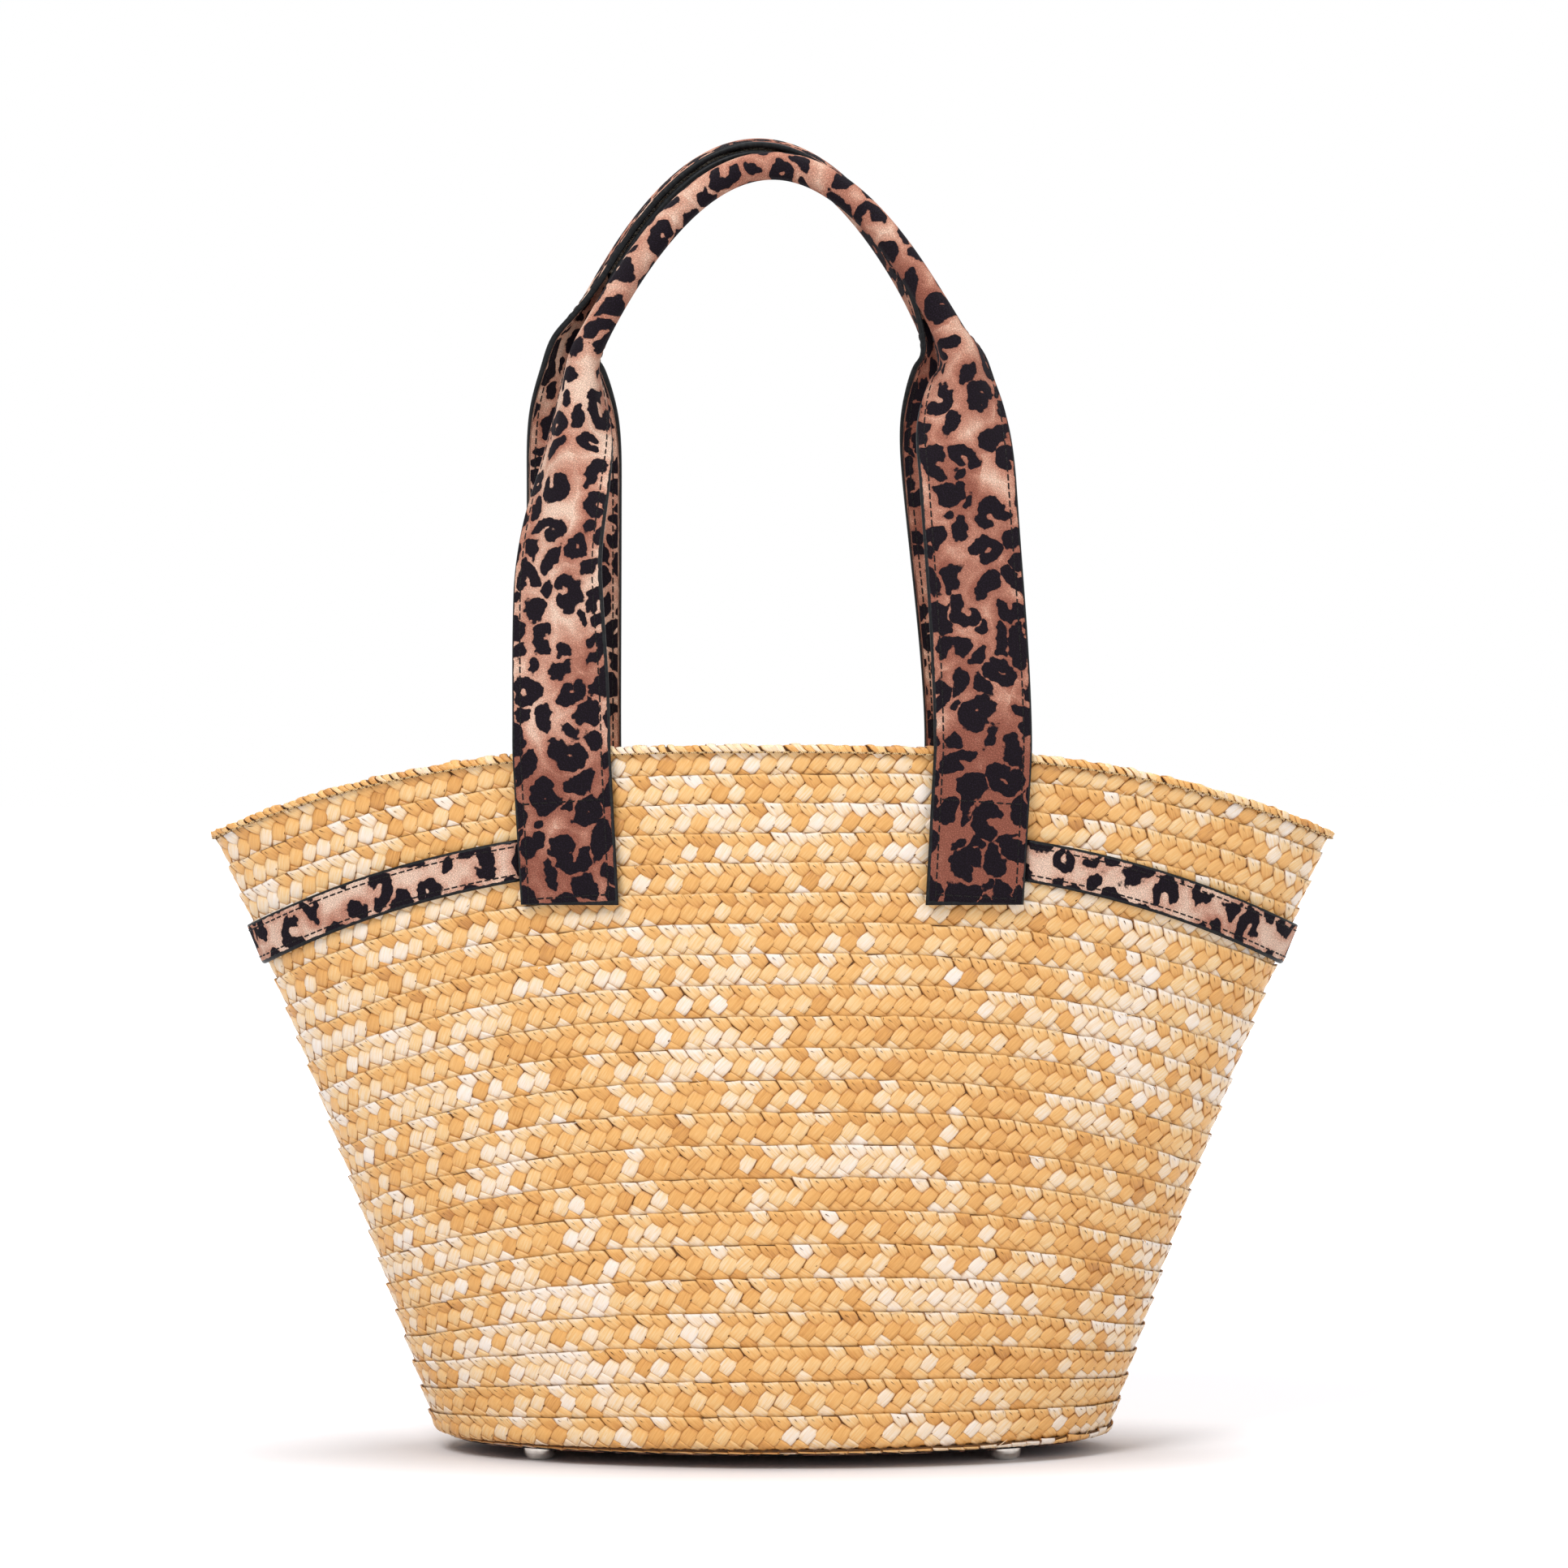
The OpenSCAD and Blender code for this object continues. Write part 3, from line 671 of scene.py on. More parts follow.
def spiral_table():
    """Length along the top edge of the strip, for each share q of turns."""
    q = np.linspace(Q_FIRST, Q_LAST, 9000)
    return q, run_lengths(wall_point(spiral_angle(q), course_v(COURSES - 0.5 - q), 0.0))


SPIRAL_Q, SPIRAL_S = spiral_table()
PERIODS = int(SPIRAL_S[-1] / PERIOD)
STRANDS = PERIODS - 3
PERIOD_MIDDLES = (np.arange(STRANDS) + 0.5)[:, None, None] * PERIOD


def plait_place(s, d, height):
    """Place on the strip: s along it, d down from its top edge, height over its sloped face."""
    q = np.interp(s, SPIRAL_S, SPIRAL_Q)
    top = COURSES - 0.5 - q
    share = d / course_pitch(np.maximum(top, 0))
    v = np.minimum(course_v(top + share), 1 - TOP_CLEAR / WALL_H)
    lap = COURSE_LAP * np.clip(1 - share, -0.25, 1)
    return wall_point(spiral_angle(q), v, lap + height), v


def smooth_runs(count, reach, spread):
    """Random numbers that change slowly along the strip."""
    kernel = np.exp(-0.5 * (np.arange(-4 * reach, 4 * reach + 1) / reach) ** 2)
    rough = draw.normal(size=count + len(kernel) - 1)
    return np.convolve(rough, kernel / np.linalg.norm(kernel), "valid") * spread


def strand_tones(count, pale_run, pale_share):
    """Tone of each strand piece: mostly golden, with pale ones in runs and a few brown ones."""
    level = pale_run + draw.normal(size=count) * 0.9
    pale = level > np.quantile(level, 1 - pale_share)
    golden = np.clip(draw.normal(0.46, 0.13, count), 0.15, 0.74)
    return np.where(pale, np.clip(draw.normal(0.79, 0.08, count), 0.64, 1.0), golden)


def strand_grid(corners, bows, along, across):
    """Flat grid of a strand between two bowed long edges. corners are the left and right corner at its
    start and at its end, bows the bulge of the two edges, along and across the shares of the way for
    the rows and columns. Gives the middle, the directions along and across the strand, and the way of
    each place from the middle in these directions."""
    start_l, start_r, end_l, end_r = (np.array(c, float) for c in corners)
    axis = unit((end_l + end_r) - (start_l + start_r))
    way_across = (start_r + end_r) - (start_l + end_l)
    side = unit(way_across - axis * np.dot(way_across, axis))
    b = np.array(along)[:, None, None]
    arch = np.maximum(4 * b * (1 - b), 0)
    left = mix(start_l, end_l, b) - side * bows[0] * arch
    right = mix(start_r, end_r, b) + side * bows[1] * arch
    flat = mix(left, right, across[None, :, None])
    middle = (start_l + start_r + end_l + end_r) / 4
    return middle, axis, side, np.stack([(flat - middle) @ axis, (flat - middle) @ side], -1)


def strand_pieces(name, corners, bows, along, body, lights, fold_shade, lean, pale_run, pale_share, flip):
    """Strand pieces of one kind, one for each period. Across each the height swells from edge to middle,
    and skirts drop from both edges. For each row of the grid, body gives the height and its swell, lights
    the painted light and shade along the strand, and fold_shade the painted shade along the fold. lean
    raises the right edge, and every piece is turned and moved a little. Painted shade also falls on the
    skirts, the edges and the ends, and where the strands go under the next course."""
    across = np.array([-0.035, 0.0, 0.2, 0.8, 1.0, 1.035])
    skirt = np.array([1, 0, 0, 0, 0, 1])
    middle, axis, side, local = strand_grid(corners, bows, along, across)
    count = STRANDS
    rows, cols = local.shape[:2]
    turn = draw.normal(0, STRAND_TURN, count)[:, None, None]
    wide = draw.uniform(0.9, 1.06, count)[:, None, None]
    lx, ly = local[None, ..., 0], local[None, ..., 1] * wide
    lx, ly = lx * np.cos(turn) - ly * np.sin(turn), lx * np.sin(turn) + ly * np.cos(turn)
    move = draw.normal(0, STRAND_MOVE, (count, 1, 1, 2))
    flat = middle + lx[..., None] * axis + ly[..., None] * side + move
    swell = 1 - (2 * across - 1) ** 2
    height = np.array(body)[:, :1] + np.array(body)[:, 1:] * swell[None, :]
    height = height[None] * draw.uniform(0.85, 1.15, count)[:, None, None]
    tilt = draw.normal(lean, STRAND_LEAN, count)[:, None, None] * (2 * across - 1)
    height = np.where(skirt[None, None, :] == 1, SKIRT_H, height + tilt)
    # Painted shade: the skirts and edge columns, the strand ends, the fold, and the part under the next
    # course
    edge_shade = SKIRT_SHADE * skirt + EDGE_SHADE * (across == 0) + EDGE_SHADE * (across == 1)
    shade = np.broadcast_to(edge_shade, (count, rows, cols)).copy()
    shade[:, [0, -1]] = np.maximum(shade[:, [0, -1]], END_SHADE)
    shade = np.maximum(shade, np.array(fold_shade)[None, :, None])
    s = PERIOD_MIDDLES + flat[..., 0]
    pitch = course_pitch(np.maximum(COURSES - 0.5 - np.interp(s, SPIRAL_S, SPIRAL_Q), 0))
    shade = np.maximum(shade, LAP_SHADE * ease((flat[..., 1] / pitch - 0.84) / 0.18))
    points, v = plait_place(s, flat[..., 1], height)
    shown = (v.max((1, 2)) > LOWEST_V) & (v.min((1, 2)) < 1 - (TOP_CLEAR + 0.4) / WALL_H)
    tone = strand_tones(count, pale_run[:count], pale_share)[:, None, None]
    # Painted light and shade by row: lighter where the fold faces up, darker at the ends that dive under
    tone = tone + np.array(lights)[None, :, None] + 0 * s
    lot = draw.uniform(0, 900, (count, 1, 1))
    uv = np.stack([np.broadcast_to(local[None, ..., 1] + lot, s.shape),
                   np.broadcast_to(local[None, ..., 0] + lot, s.shape)], -1)
    quads = patch_quads(int(shown.sum()), rows, cols, flip)
    share = np.clip(across, 0, 1) + 0 * s
    fields = {"tone": tone[shown], "dark": shade[shown], "across": share[shown]}
    return make_piece(name, points[shown], quads, STRAW, uv[shown], fields)


def shade_slivers():
    """Painted shade of the slits and gaps of the plait: slanted dark slivers, pointed at one end. They
    lie where the sewing pulls the folded edge, between two folds, and where three strands meet. Each kind
    has a middle in the period, a slant, ranges of half length and half width, a height and the share that
    shows."""
    kinds = (((3.9, 1.75), 0.55, (0.8, 1.5), (0.05, 0.15), 0.72, 0.86),
             ((7.35, 1.0), 1.0, (0.7, 1.2), (0.04, 0.13), 0.6, 0.8),
             ((4.3, 8.7), -0.9, (0.5, 1.0), (0.08, 0.26), 0.5, 0.8))
    count = STRANDS
    run = np.linspace(-1, 1, 5)[None, :, None]
    side = np.array([-1.0, 0.0, 1.0])[None, None, :]
    found = []
    for (mid_s, mid_d), slant, longs, wides, lift, often in kinds:
        turn = slant + draw.normal(0, 0.15, count)[:, None, None]
        a = run * draw.uniform(*longs, count)[:, None, None] + 0 * side
        wide = draw.uniform(*wides, count)[:, None, None]
        c = side * wide * (1 - run) * (1 - run ** 2) ** 0.5 + 0.12 * run
        s = a * np.cos(turn) - c * np.sin(turn) + mid_s + draw.normal(0, 0.4, count)[:, None, None]
        d = a * np.sin(turn) + c * np.cos(turn) + mid_d + draw.normal(0, 0.2, count)[:, None, None]
        height = lift - 0.12 * np.abs(run) ** 3 + 0 * s
        points, v = plait_place(s + PERIOD_MIDDLES, d, height)
        below_rim = v.max((1, 2)) < 1 - (TOP_CLEAR + 0.6) / WALL_H
        found.append(points[below_rim & (draw.uniform(size=count) < often)])
    points = np.concatenate(found)
    quads = patch_quads(*points.shape[:3])
    return make_piece("plait_gap_shade", points, quads, SLIT_SHADE, weld=True)


def frayed_ends():
    """Loose straw ends along the folded edges: thin blades that narrow to a tip and bend away from the
    wall, each with a back of its own."""
    count = FRAYED_ENDS
    run = np.linspace(0, 1, 5)[None, :, None]
    side = np.array([-1.0, 0.0, 1.0])[None, None, :]
    long = draw.uniform(1.6, 5.0, count)[:, None, None]
    wide = draw.uniform(0.1, 0.28, count)[:, None, None] * (1 - 0.9 * run)
    turn = draw.normal(-0.35, 0.35, count)[:, None, None]
    way = np.where(draw.uniform(size=count) < 0.7, 1.0, -1.0)[:, None, None]
    bend = draw.normal(0, 0.5, count)[:, None, None] * run ** 2
    start = draw.uniform(0, SPIRAL_S[-1] - 30, count)[:, None, None]
    s = start + way * (run * long * np.cos(turn)) + 0 * side
    d = 0.9 + run * long * np.sin(turn) + bend + side * wide
    height = 0.5 + draw.uniform(0.1, 0.9, count)[:, None, None] * run ** 1.5 + 0.08 * (1 - side ** 2)
    points, v = plait_place(s, d, height + 0 * s)
    backs = plait_place(s, d, height - 0.1 + 0 * s)[0]
    shown = v.max((1, 2)) < 1 - (TOP_CLEAR + 1.5) / WALL_H
    tone = draw.normal(0.72, 0.12, count)[:, None, None] + 0 * s
    uv = np.stack([side * wide + 0 * s, run * long + 0 * s], -1)
    both = np.concatenate([points[shown], backs[shown]])
    half = len(both) // 2
    grid = both.shape[1:3]
    back_quads = patch_quads(half, *grid, True) + half * grid[0] * grid[1]
    quads = np.concatenate([patch_quads(half, *grid), back_quads])
    fields = {"tone": np.concatenate([tone[shown]] * 2),
              "dark": np.zeros(both.shape[:3]),
              "across": np.full(both.shape[:3], 0.5)}
    uv = np.concatenate([uv[shown]] * 2)
    return make_piece("plait_frayed_ends", both, quads, STRAW, uv, fields)


def plait_backing():
    """Shaded strip under the strands: it runs along the spiral and laps over the course below."""
    q = np.linspace(Q_FIRST, Q_LAST - 0.01, 3500)[:, None]
    share = np.array([1.14, 1.0, 0.55, 0.05, 0.0, 0.05])[None, :]
    depth = np.array([-0.7, -0.35, -0.2, -0.2, -0.5, -1.6])[None, :]
    v = np.minimum(course_v(COURSES - 0.5 - q + share), 1 - TOP_CLEAR / WALL_H)
    lap = COURSE_LAP * np.clip(1 - share, -0.1, 1)
    points = wall_point(spiral_angle(q) + 0 * share, v, lap + depth)
    return make_piece("plait_backing", points, grid_quads(*v.shape)[:, ::-1], SHADOW)


def make_plait():
    """The three strand pieces that show in each period of the plait, with the painted shade of slits and
    gaps, loose ends and the shaded strip under them."""
    pale = smooth_runs(PERIODS, 2, 0.8)
    # The lights rows paint light and shade along each strand: lighter where the folded edge faces up,
    # darker at the ends that dive under. fold_shade paints shade along the fold.
    teeth = strand_pieces(
        "plait_folded_edge", lean=0.1, pale_run=pale, pale_share=0.26, flip=True,
        corners=[(0, 0), (6.7, 0), (5.5, 5.9), (8.6, 3.0)], bows=(0.7, 0.25),
        along=[0.10, -0.01, 0.09, 0.36, 0.68, 1.1],
        body=[(-0.35, 0.0), (0.2, 0.03), (0.38, 0.06), (0.36, 0.16), (0.3, 0.22), (-0.15, 0.0)],
        lights=[0.0, 0.1, 0.16, 0.0, -0.04, -0.1],
        fold_shade=[0.5, 0.28, 0.0, 0, 0, 0])
    floats = strand_pieces(
        "plait_middle_strands", lean=0.0, pale_run=pale, pale_share=0.3, flip=False,
        corners=[(4.2, 8.9), (8.6, 11.9), (8.5, 3.6), (12.9, 6.4)], bows=(0.6, 0.4),
        along=[-0.08, 0.1, 0.36, 0.64, 0.9, 1.08],
        body=[(-0.15, 0.0), (0.36, 0.14), (0.44, 0.2), (0.44, 0.2), (0.36, 0.14), (-0.15, 0.0)],
        lights=[-0.12, 0.0, 0.03, 0.02, -0.02, -0.15],
        fold_shade=[0.0] * 6)
    lower = strand_pieces(
        "plait_lower_strands", lean=0.0, pale_run=np.roll(pale, 2), pale_share=0.32, flip=True,
        corners=[(1.3, 12.9), (4.2, 8.9), (7.1, 16.9), (10.0, 12.9)], bows=(0.2, 0.3),
        along=[-0.1, 0.14, 0.45, 0.75, 1.05],
        body=[(-0.15, 0.0), (0.34, 0.14), (0.42, 0.22), (0.38, 0.2), (-0.1, 0.1)],
        lights=[-0.1, 0.0, 0.02, -0.03, -0.12],
        fold_shade=[0.0] * 5)
    gaps = shade_slivers()
    frays = frayed_ends()
    backing = plait_backing()
    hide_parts("straw_wall")
    for obj in (teeth, floats, lower, gaps, frays, backing):
        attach(obj, "bag")


make_plait()


# Rim edging: folded straw bits over the rim, held by a row of stitches

BIT_STEP = 3.35
EDGE_OUT, EDGE_IN = 2.9, -4.9
HOLE_SHIFT, HOLE_UP = 1.4, -2.8
RIM_STITCH_SHARE, RIM_THREAD_R = 0.72, 0.33
CORE_STEPS = 600
# Bend of the edging, from the inside over the rim to the outside: way out from the wall, and way up
EDGE_OFF = np.array([EDGE_IN, EDGE_IN - 0.1, EDGE_IN + 0.5, -2.6, 0.4,
                     EDGE_OUT - 0.5, EDGE_OUT + 0.1, EDGE_OUT, EDGE_OUT - 0.4])
EDGE_UP = np.array([-6.5, -1.9, -0.3, 0.2, 0.2, -0.3, -1.4, -2.3, -3.1])


def rim_table():
    """Angle round the rim for each length along it."""
    t = np.linspace(0, TAU, 4001)
    return t, run_lengths(wall_point(t, 1.0, 0.0))


RIM_T, RIM_S = rim_table()
BITS = int(round(RIM_S[-1] / BIT_STEP))
BIT_PITCH = RIM_S[-1] / BITS


def rim_place(s, off, up):
    """Place beside the rim: s along it, off outwards, up above the edge of the straw."""
    t = np.interp(np.mod(s, RIM_S[-1]), RIM_S, RIM_T)
    p = wall_point(t, 1 + np.minimum(up, 0) / WALL_H, off)
    return p + np.maximum(up, 0)[..., None] * np.array([0, 0, 1.0])


def edging_bits():
    """Bits: each is a narrow slanted strip bent over the rim, a little higher or lower than the next,
    with a swell across it and a skirt at both edges."""
    slant = np.array([-1.2, -0.9, -0.5, -0.3, 0.0, 0.5, 1.4, 2.2, 2.9])
    across = np.array([-0.5, -0.5, -0.2, 0.2, 0.5, 0.5])
    skirt = np.array([1, 0, 0, 0, 0, 1])
    lift = np.where(skirt == 1, SKIRT_H, 0.42 * (1 - (2 * across) ** 2))
    away = np.stack([np.sign(EDGE_OFF), np.sign(EDGE_UP + 1.5)], -1) * 0.7
    away[0], away[-1] = (-0.6, 0), (0.6, 0)
    wide = draw.uniform(0.75, 1.2, BITS)[:, None, None]
    shift = draw.normal(0, 0.35, BITS)[:, None, None]
    tall = draw.normal(-0.1, 0.4, BITS)[:, None, None]
    more = draw.uniform(0.5, 1.4, BITS)[:, None, None]
    s = np.arange(BITS)[:, None, None] * BIT_PITCH + shift
    s = s + slant[None, :, None] * more + across * BIT_PITCH * wide
    swell = lift[None, None, :] + draw.normal(0, 0.2, (BITS, len(EDGE_OFF), 1))
    swell = swell + draw.normal(0, 0.25, (BITS, 1, 1)) * across
    off = EDGE_OFF[None, :, None] + swell * away[None, :, None, 0]
    up = EDGE_UP[None, :, None] + swell * np.maximum(away[None, :, None, 1], 0)
    up = up + tall * (EDGE_UP > 0)[None, :, None]
    tone = strand_tones(BITS, smooth_runs(BITS, 2, 1.0), 0.3)[:, None, None] - 0.06
    # Painted shade on the skirts and the edges of each bit
    dark = 0.75 * skirt + 0.15 * (np.abs(across) == 0.5) + 0 * s
    fields = {"tone": np.broadcast_to(tone, s.shape), "dark": dark, "across": across + 0.5 + 0 * s}
    lot = draw.uniform(0, 900, (BITS, 1, 1))
    along = run_lengths(np.stack([EDGE_OFF, EDGE_UP], -1))
    uv = np.stack([across * BIT_PITCH + lot + 0 * s, along[None, :, None] + lot + 0 * s], -1)
    quads = patch_quads(BITS, *s.shape[1:], True)
    return make_piece("rim_edging_bits", rim_place(s, off, up), quads, EDGING, uv, fields)


def edging_core():
    """Smooth core under the bits, coloured as painted shade where it shows between them: the same bend,
    drawn in towards the straw.
    """
    ring = np.arange(CORE_STEPS)[:, None] * RIM_S[-1] / CORE_STEPS
    off = EDGE_OFF - np.sign(EDGE_OFF) * 0.5
    up = np.where(EDGE_UP > -2, EDGE_UP - 0.5, EDGE_UP + 0.7)
    points = rim_place(ring + 0 * off, off + 0 * ring, up + 0 * ring)
    quads = grid_quads(*points.shape[:2], close_rows=True)
    return make_piece("rim_edging_core", points, quads, SHADOW)


def edging_holes():
    """Needle holes along the stitch line, one for each bit: small domes of three rings in painted shade.
    """
    around = np.linspace(0, TAU, 7)[None, None, :]
    out = np.array([0.0, 0.62, 1.0])[None, :, None]
    wide = draw.uniform(0.42, 0.68, BITS)[:, None, None]
    s = np.arange(BITS)[:, None, None] * BIT_PITCH + HOLE_SHIFT + out * wide * np.cos(around)
    off = EDGE_OUT + 0.42 - 0.5 * out ** 3 + 0 * around * wide
    up = HOLE_UP + 0.8 * out * wide * np.sin(around)
    quads = patch_quads(BITS, *s.shape[1:], True)
    return make_piece("rim_edging_holes", rim_place(s, off, up), quads, SHADOW, weld=True)


def make_edging():
    """Edging of the rim: the bits, the core under them and the needle holes."""
    bits, core, holes = edging_bits(), edging_core(), edging_holes()
    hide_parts("rim_edging")
    for obj in (bits, core, holes):
        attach(obj, "bag")


make_edging()


# Stitches

def make_stitches(name, place, u, s, length, radius, material, turn=0.0, flip=False):
    """Row of stitches: each is half a thread that rises from the cloth and dips back at both ends.
    place(u, s, lift) gives the surface. u and s are the middles, and turn is the angle to the s line.
    flip turns the faces round where place mirrors the row."""
    u, s, turn = np.broadcast_arrays(np.asarray(u, float), np.asarray(s, float), np.asarray(turn, float))
    run = np.array([-0.5, -0.36, 0.0, 0.36, 0.5])[None, :, None] * length
    rise = np.array([-0.2, 0.75, 1.0, 0.75, -0.2])[None, :, None]
    ring = np.linspace(0, math.pi, 5)[None, None, :]
    a = run + 0 * ring
    c = radius * np.cos(ring) + 0 * run
    lift = radius * (1.15 * np.sin(ring) * rise - 0.1)
    cos, sin = np.cos(turn)[:, None, None], np.sin(turn)[:, None, None]
    uu = u[:, None, None] + c * cos + a * sin
    ss = s[:, None, None] + a * cos - c * sin
    points = place(uu, ss, lift + 0 * uu)
    uv = np.stack([c + 0 * uu, a + 0 * uu], -1)
    return make_piece(name, points, patch_quads(len(u), 5, 5, flip), material, uv)


def make_rim_thread():
    """Cream thread along the lower line of the edging, one stitch between two needle holes."""
    s = (np.arange(BITS) + 0.5) * BIT_PITCH + HOLE_SHIFT

    def place(u, along, lift):
        """Place on the outside of the edging, u above the line of the holes."""
        return rim_place(along, EDGE_OUT + 0.25 + lift, HOLE_UP + u)

    thread = make_stitches("rim_edging_thread", place, 0.0 * s, s, BIT_PITCH * RIM_STITCH_SHARE,
                           RIM_THREAD_R, CREAM_THREAD)
    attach(thread, "bag")


make_rim_thread()


# Straps

def strap_x_at(v):
    """Way of a strap's middle line from the middle of the bag: the straps splay upwards."""
    return STRAP_X + LEG_SPLAY * WALL_H * (v - FOLD_V)


def strap_at(v):
    """Place of a strap's middle line on the wall."""
    return wall_point(angle_at(strap_x_at(v), v), v, STRAP_OFF)


def strap_facing(v):
    """Outward direction of the wall under a strap's middle line."""
    return wall_normal(angle_at(strap_x_at(v), v), np.asarray(v, float))


GRIP_R = (GRIP_D - STRAP_T) / 2
RIM_AT = strap_at(1.0) + np.array([0, 0, EDGE_T])


def close_angle():
    """Angle by which the round back of the grip runs past a half turn, so that the edges meet."""
    g = math.radians(15)
    for _ in range(20):
        gap = GRIP_R * math.cos(g) - (STRAP_T + SEAM_GAP) / 2
        g = math.asin(gap / (STRAP_W / 2 - GRIP_R * (math.pi / 2 + g)))
    return g


PAST_HALF = close_angle()
ROUND_HALF = GRIP_R * (math.pi / 2 + PAST_HALF)
FLAP_W = STRAP_W / 2 - ROUND_HALF
GRIP_DEPTH = GRIP_R * (1 + math.sin(PAST_HALF)) + FLAP_W * math.cos(PAST_HALF) + STRAP_T / 2
GRIP_Y = GRIP_DEPTH + GRIP_CLEAR


def fold_point(u, d, fold):
    """Section of the strap folded lengthwise: a round back, then two flat flaps. u runs across the
    strap, d is the depth out from its middle, and fold goes from 0, flat, to 1, closed."""
    end = np.maximum(0.01, fold * (math.pi / 2 + PAST_HALF))
    r = ROUND_HALF / end
    a = np.minimum(1, np.abs(u) / ROUND_HALF) * end
    flap = np.maximum(0, np.abs(u) - ROUND_HALF)
    across = np.sign(u) * ((r + d) * np.sin(a) + flap * np.cos(a))
    return across, (r + d) * np.cos(a) - r - flap * np.sin(a)


def leg_share(z):
    """Share of the way from the rim up to the pinch of the grip."""
    return (z - RIM_AT[2]) / (PINCH_Z - RIM_AT[2])


def lean_y(z):
    """Depth of the middle line, which leans straight in from the rim to the top of the grip."""
    return mix(RIM_AT[1], GRIP_Y, (z - RIM_AT[2]) / (GRIP_Z - RIM_AT[2]))


def turn_share(z):
    """Share of its turn and bow that a leg has at a height."""
    q = leg_share(z)
    return ease(q / 0.6) * ease((1 - q) / 0.3)


def half_strap(twist, bow, curl_len):
    """Right half of a strap, from the end of its tab to the top: places, facings and fold."""
    v = np.linspace(TAB_V, 1, 34)
    z = np.linspace(RIM_AT[2], PINCH_Z, 80)[1:]
    a = np.linspace(0, math.pi / 2, 60)[1:]
    lean = math.atan((RIM_AT[1] - GRIP_Y) / (GRIP_Z - RIM_AT[2]))
    leg_x = mix(RIM_AT[0], ARCH_SPAN / 2, ease(leg_share(z))) + bow * turn_share(z)
    leg = np.stack([leg_x, lean_y(z), z], -1)
    arch_z = GRIP_Z - ARCH_RISE * np.cos(a) ** 2
    arch = np.stack([np.cos(a) * ARCH_SPAN / 2, lean_y(arch_z), arch_z], -1)
    places = np.concatenate([strap_at(v), RIM_AT[None], leg, arch])
    fold = ease((places[:, 2] - CURL_TOP + curl_len) / curl_len)
    leaned, level = np.array([0, math.cos(lean), math.sin(lean)]), np.array([0, 1.0, 0])
    out = unit(mix(leaned, level, ease((z - FLAT_Z) / CURL_LEN)[:, None]))
    n = unit(mix(strap_facing(1.0), out, ease((z - RIM_AT[2]) / (FLAT_Z - RIM_AT[2]))[:, None]))
    turn = twist * turn_share(z)
    n = np.stack([n[:, 0] * np.cos(turn) + n[:, 1] * np.sin(turn),
                  n[:, 1] * np.cos(turn) - n[:, 0] * np.sin(turn), n[:, 2]], -1)
    grip = np.tile(level, (len(a), 1))
    facings = np.concatenate([strap_facing(v), strap_facing(np.ones(1)), n, grip])
    return places, facings, fold


def softened(values, reach):
    """Running average over a number of steps, with the ends kept."""
    kernel = np.exp(-0.5 * (np.arange(-3 * reach, 3 * reach + 1) / reach) ** 2)
    padded = np.pad(values, [(3 * reach, 3 * reach), (0, 0)], mode="reflect", reflect_type="odd")
    return np.stack([np.convolve(c, kernel / kernel.sum(), "valid") for c in padded.T], -1)


def values_at(s, table_s, table):
    """Rows of a table at the lengths s, straight between the lengths table_s that it has."""
    return np.stack([np.interp(s, table_s, column) for column in table.T], -1)


class Strap:
    """A strap's middle line as evenly spaced frames: place, across and outward directions, and fold."""

    def __init__(self, twists, bow, left_curl, shift, lift, front):
        """Join the right half and the mirrored left half, space their frames evenly and smooth them."""
        right, left = half_strap(twists[0], 0.0, CURL_LEN), half_strap(twists[1], bow, left_curl)
        flip = np.array([-1.0, 1, 1])
        places = np.concatenate([right[0], (left[0] * flip)[-2::-1]])
        facings = np.concatenate([right[1], (left[1] * flip)[-2::-1]])
        fold = np.concatenate([right[2], left[2][-2::-1]])
        places = places + ease(leg_share(places[:, 2]))[:, None] * np.array([shift, 0, lift])
        length = run_lengths(places)
        self.length = length[-1]
        self.s = np.linspace(0, self.length, int(self.length / FRAME_STEP))
        self.p = softened(values_at(self.s, length, places), 2)
        n = softened(values_at(self.s, length, facings), 2)
        self.fold = softened(values_at(self.s, length, fold[:, None]), 1)[:, 0]
        t = np.gradient(self.p, axis=0)
        t[0], t[-1] = (0, 0, 1.0), (0, 0, -1.0)
        self.w = unit(np.cross(n, unit(t)))
        self.m = np.cross(unit(t), self.w)
        self.mirror = np.array([1.0, -1.0, 1.0]) if front else np.ones(3)

    def place(self, u, s, d):
        """Place at u across, s along and d out from the middle of the strap."""
        p, w, m = (values_at(s, self.s, table) for table in (self.p, self.w, self.m))
        x, y = fold_point(u, d, np.interp(s, self.s, self.fold))
        return (p + x[..., None] * w + y[..., None] * m) * self.mirror


FACE_U = STRAP_W / 2 - 1.7
BEAD_R, BEAD_OUT = 1.42, 0.25
STITCH_U = STRAP_W / 2 - STRAP_STITCH_IN


def strap_outline(half_w, thick, bead):
    """Closed outline across a strap: outer face, round painted edge, inner face, round painted edge.
    Gives u, depth and a mark that is 0 on the outer face and 1 on the inner one."""
    face = np.linspace(-half_w, half_w, 17)
    angle = np.radians([30, 65, 90, 115, 150])
    edge_u, edge_d = half_w + BEAD_OUT + bead * np.sin(angle), bead * np.cos(angle)
    u = np.concatenate([face, edge_u, face[::-1], -edge_u])
    d = np.concatenate([0 * face + thick / 2, edge_d, 0 * face - thick / 2, -edge_d])
    inner = np.concatenate([0 * face, angle * 0 + 0.5, 0 * face + 1, angle * 0 + 0.5])
    return u, d, inner


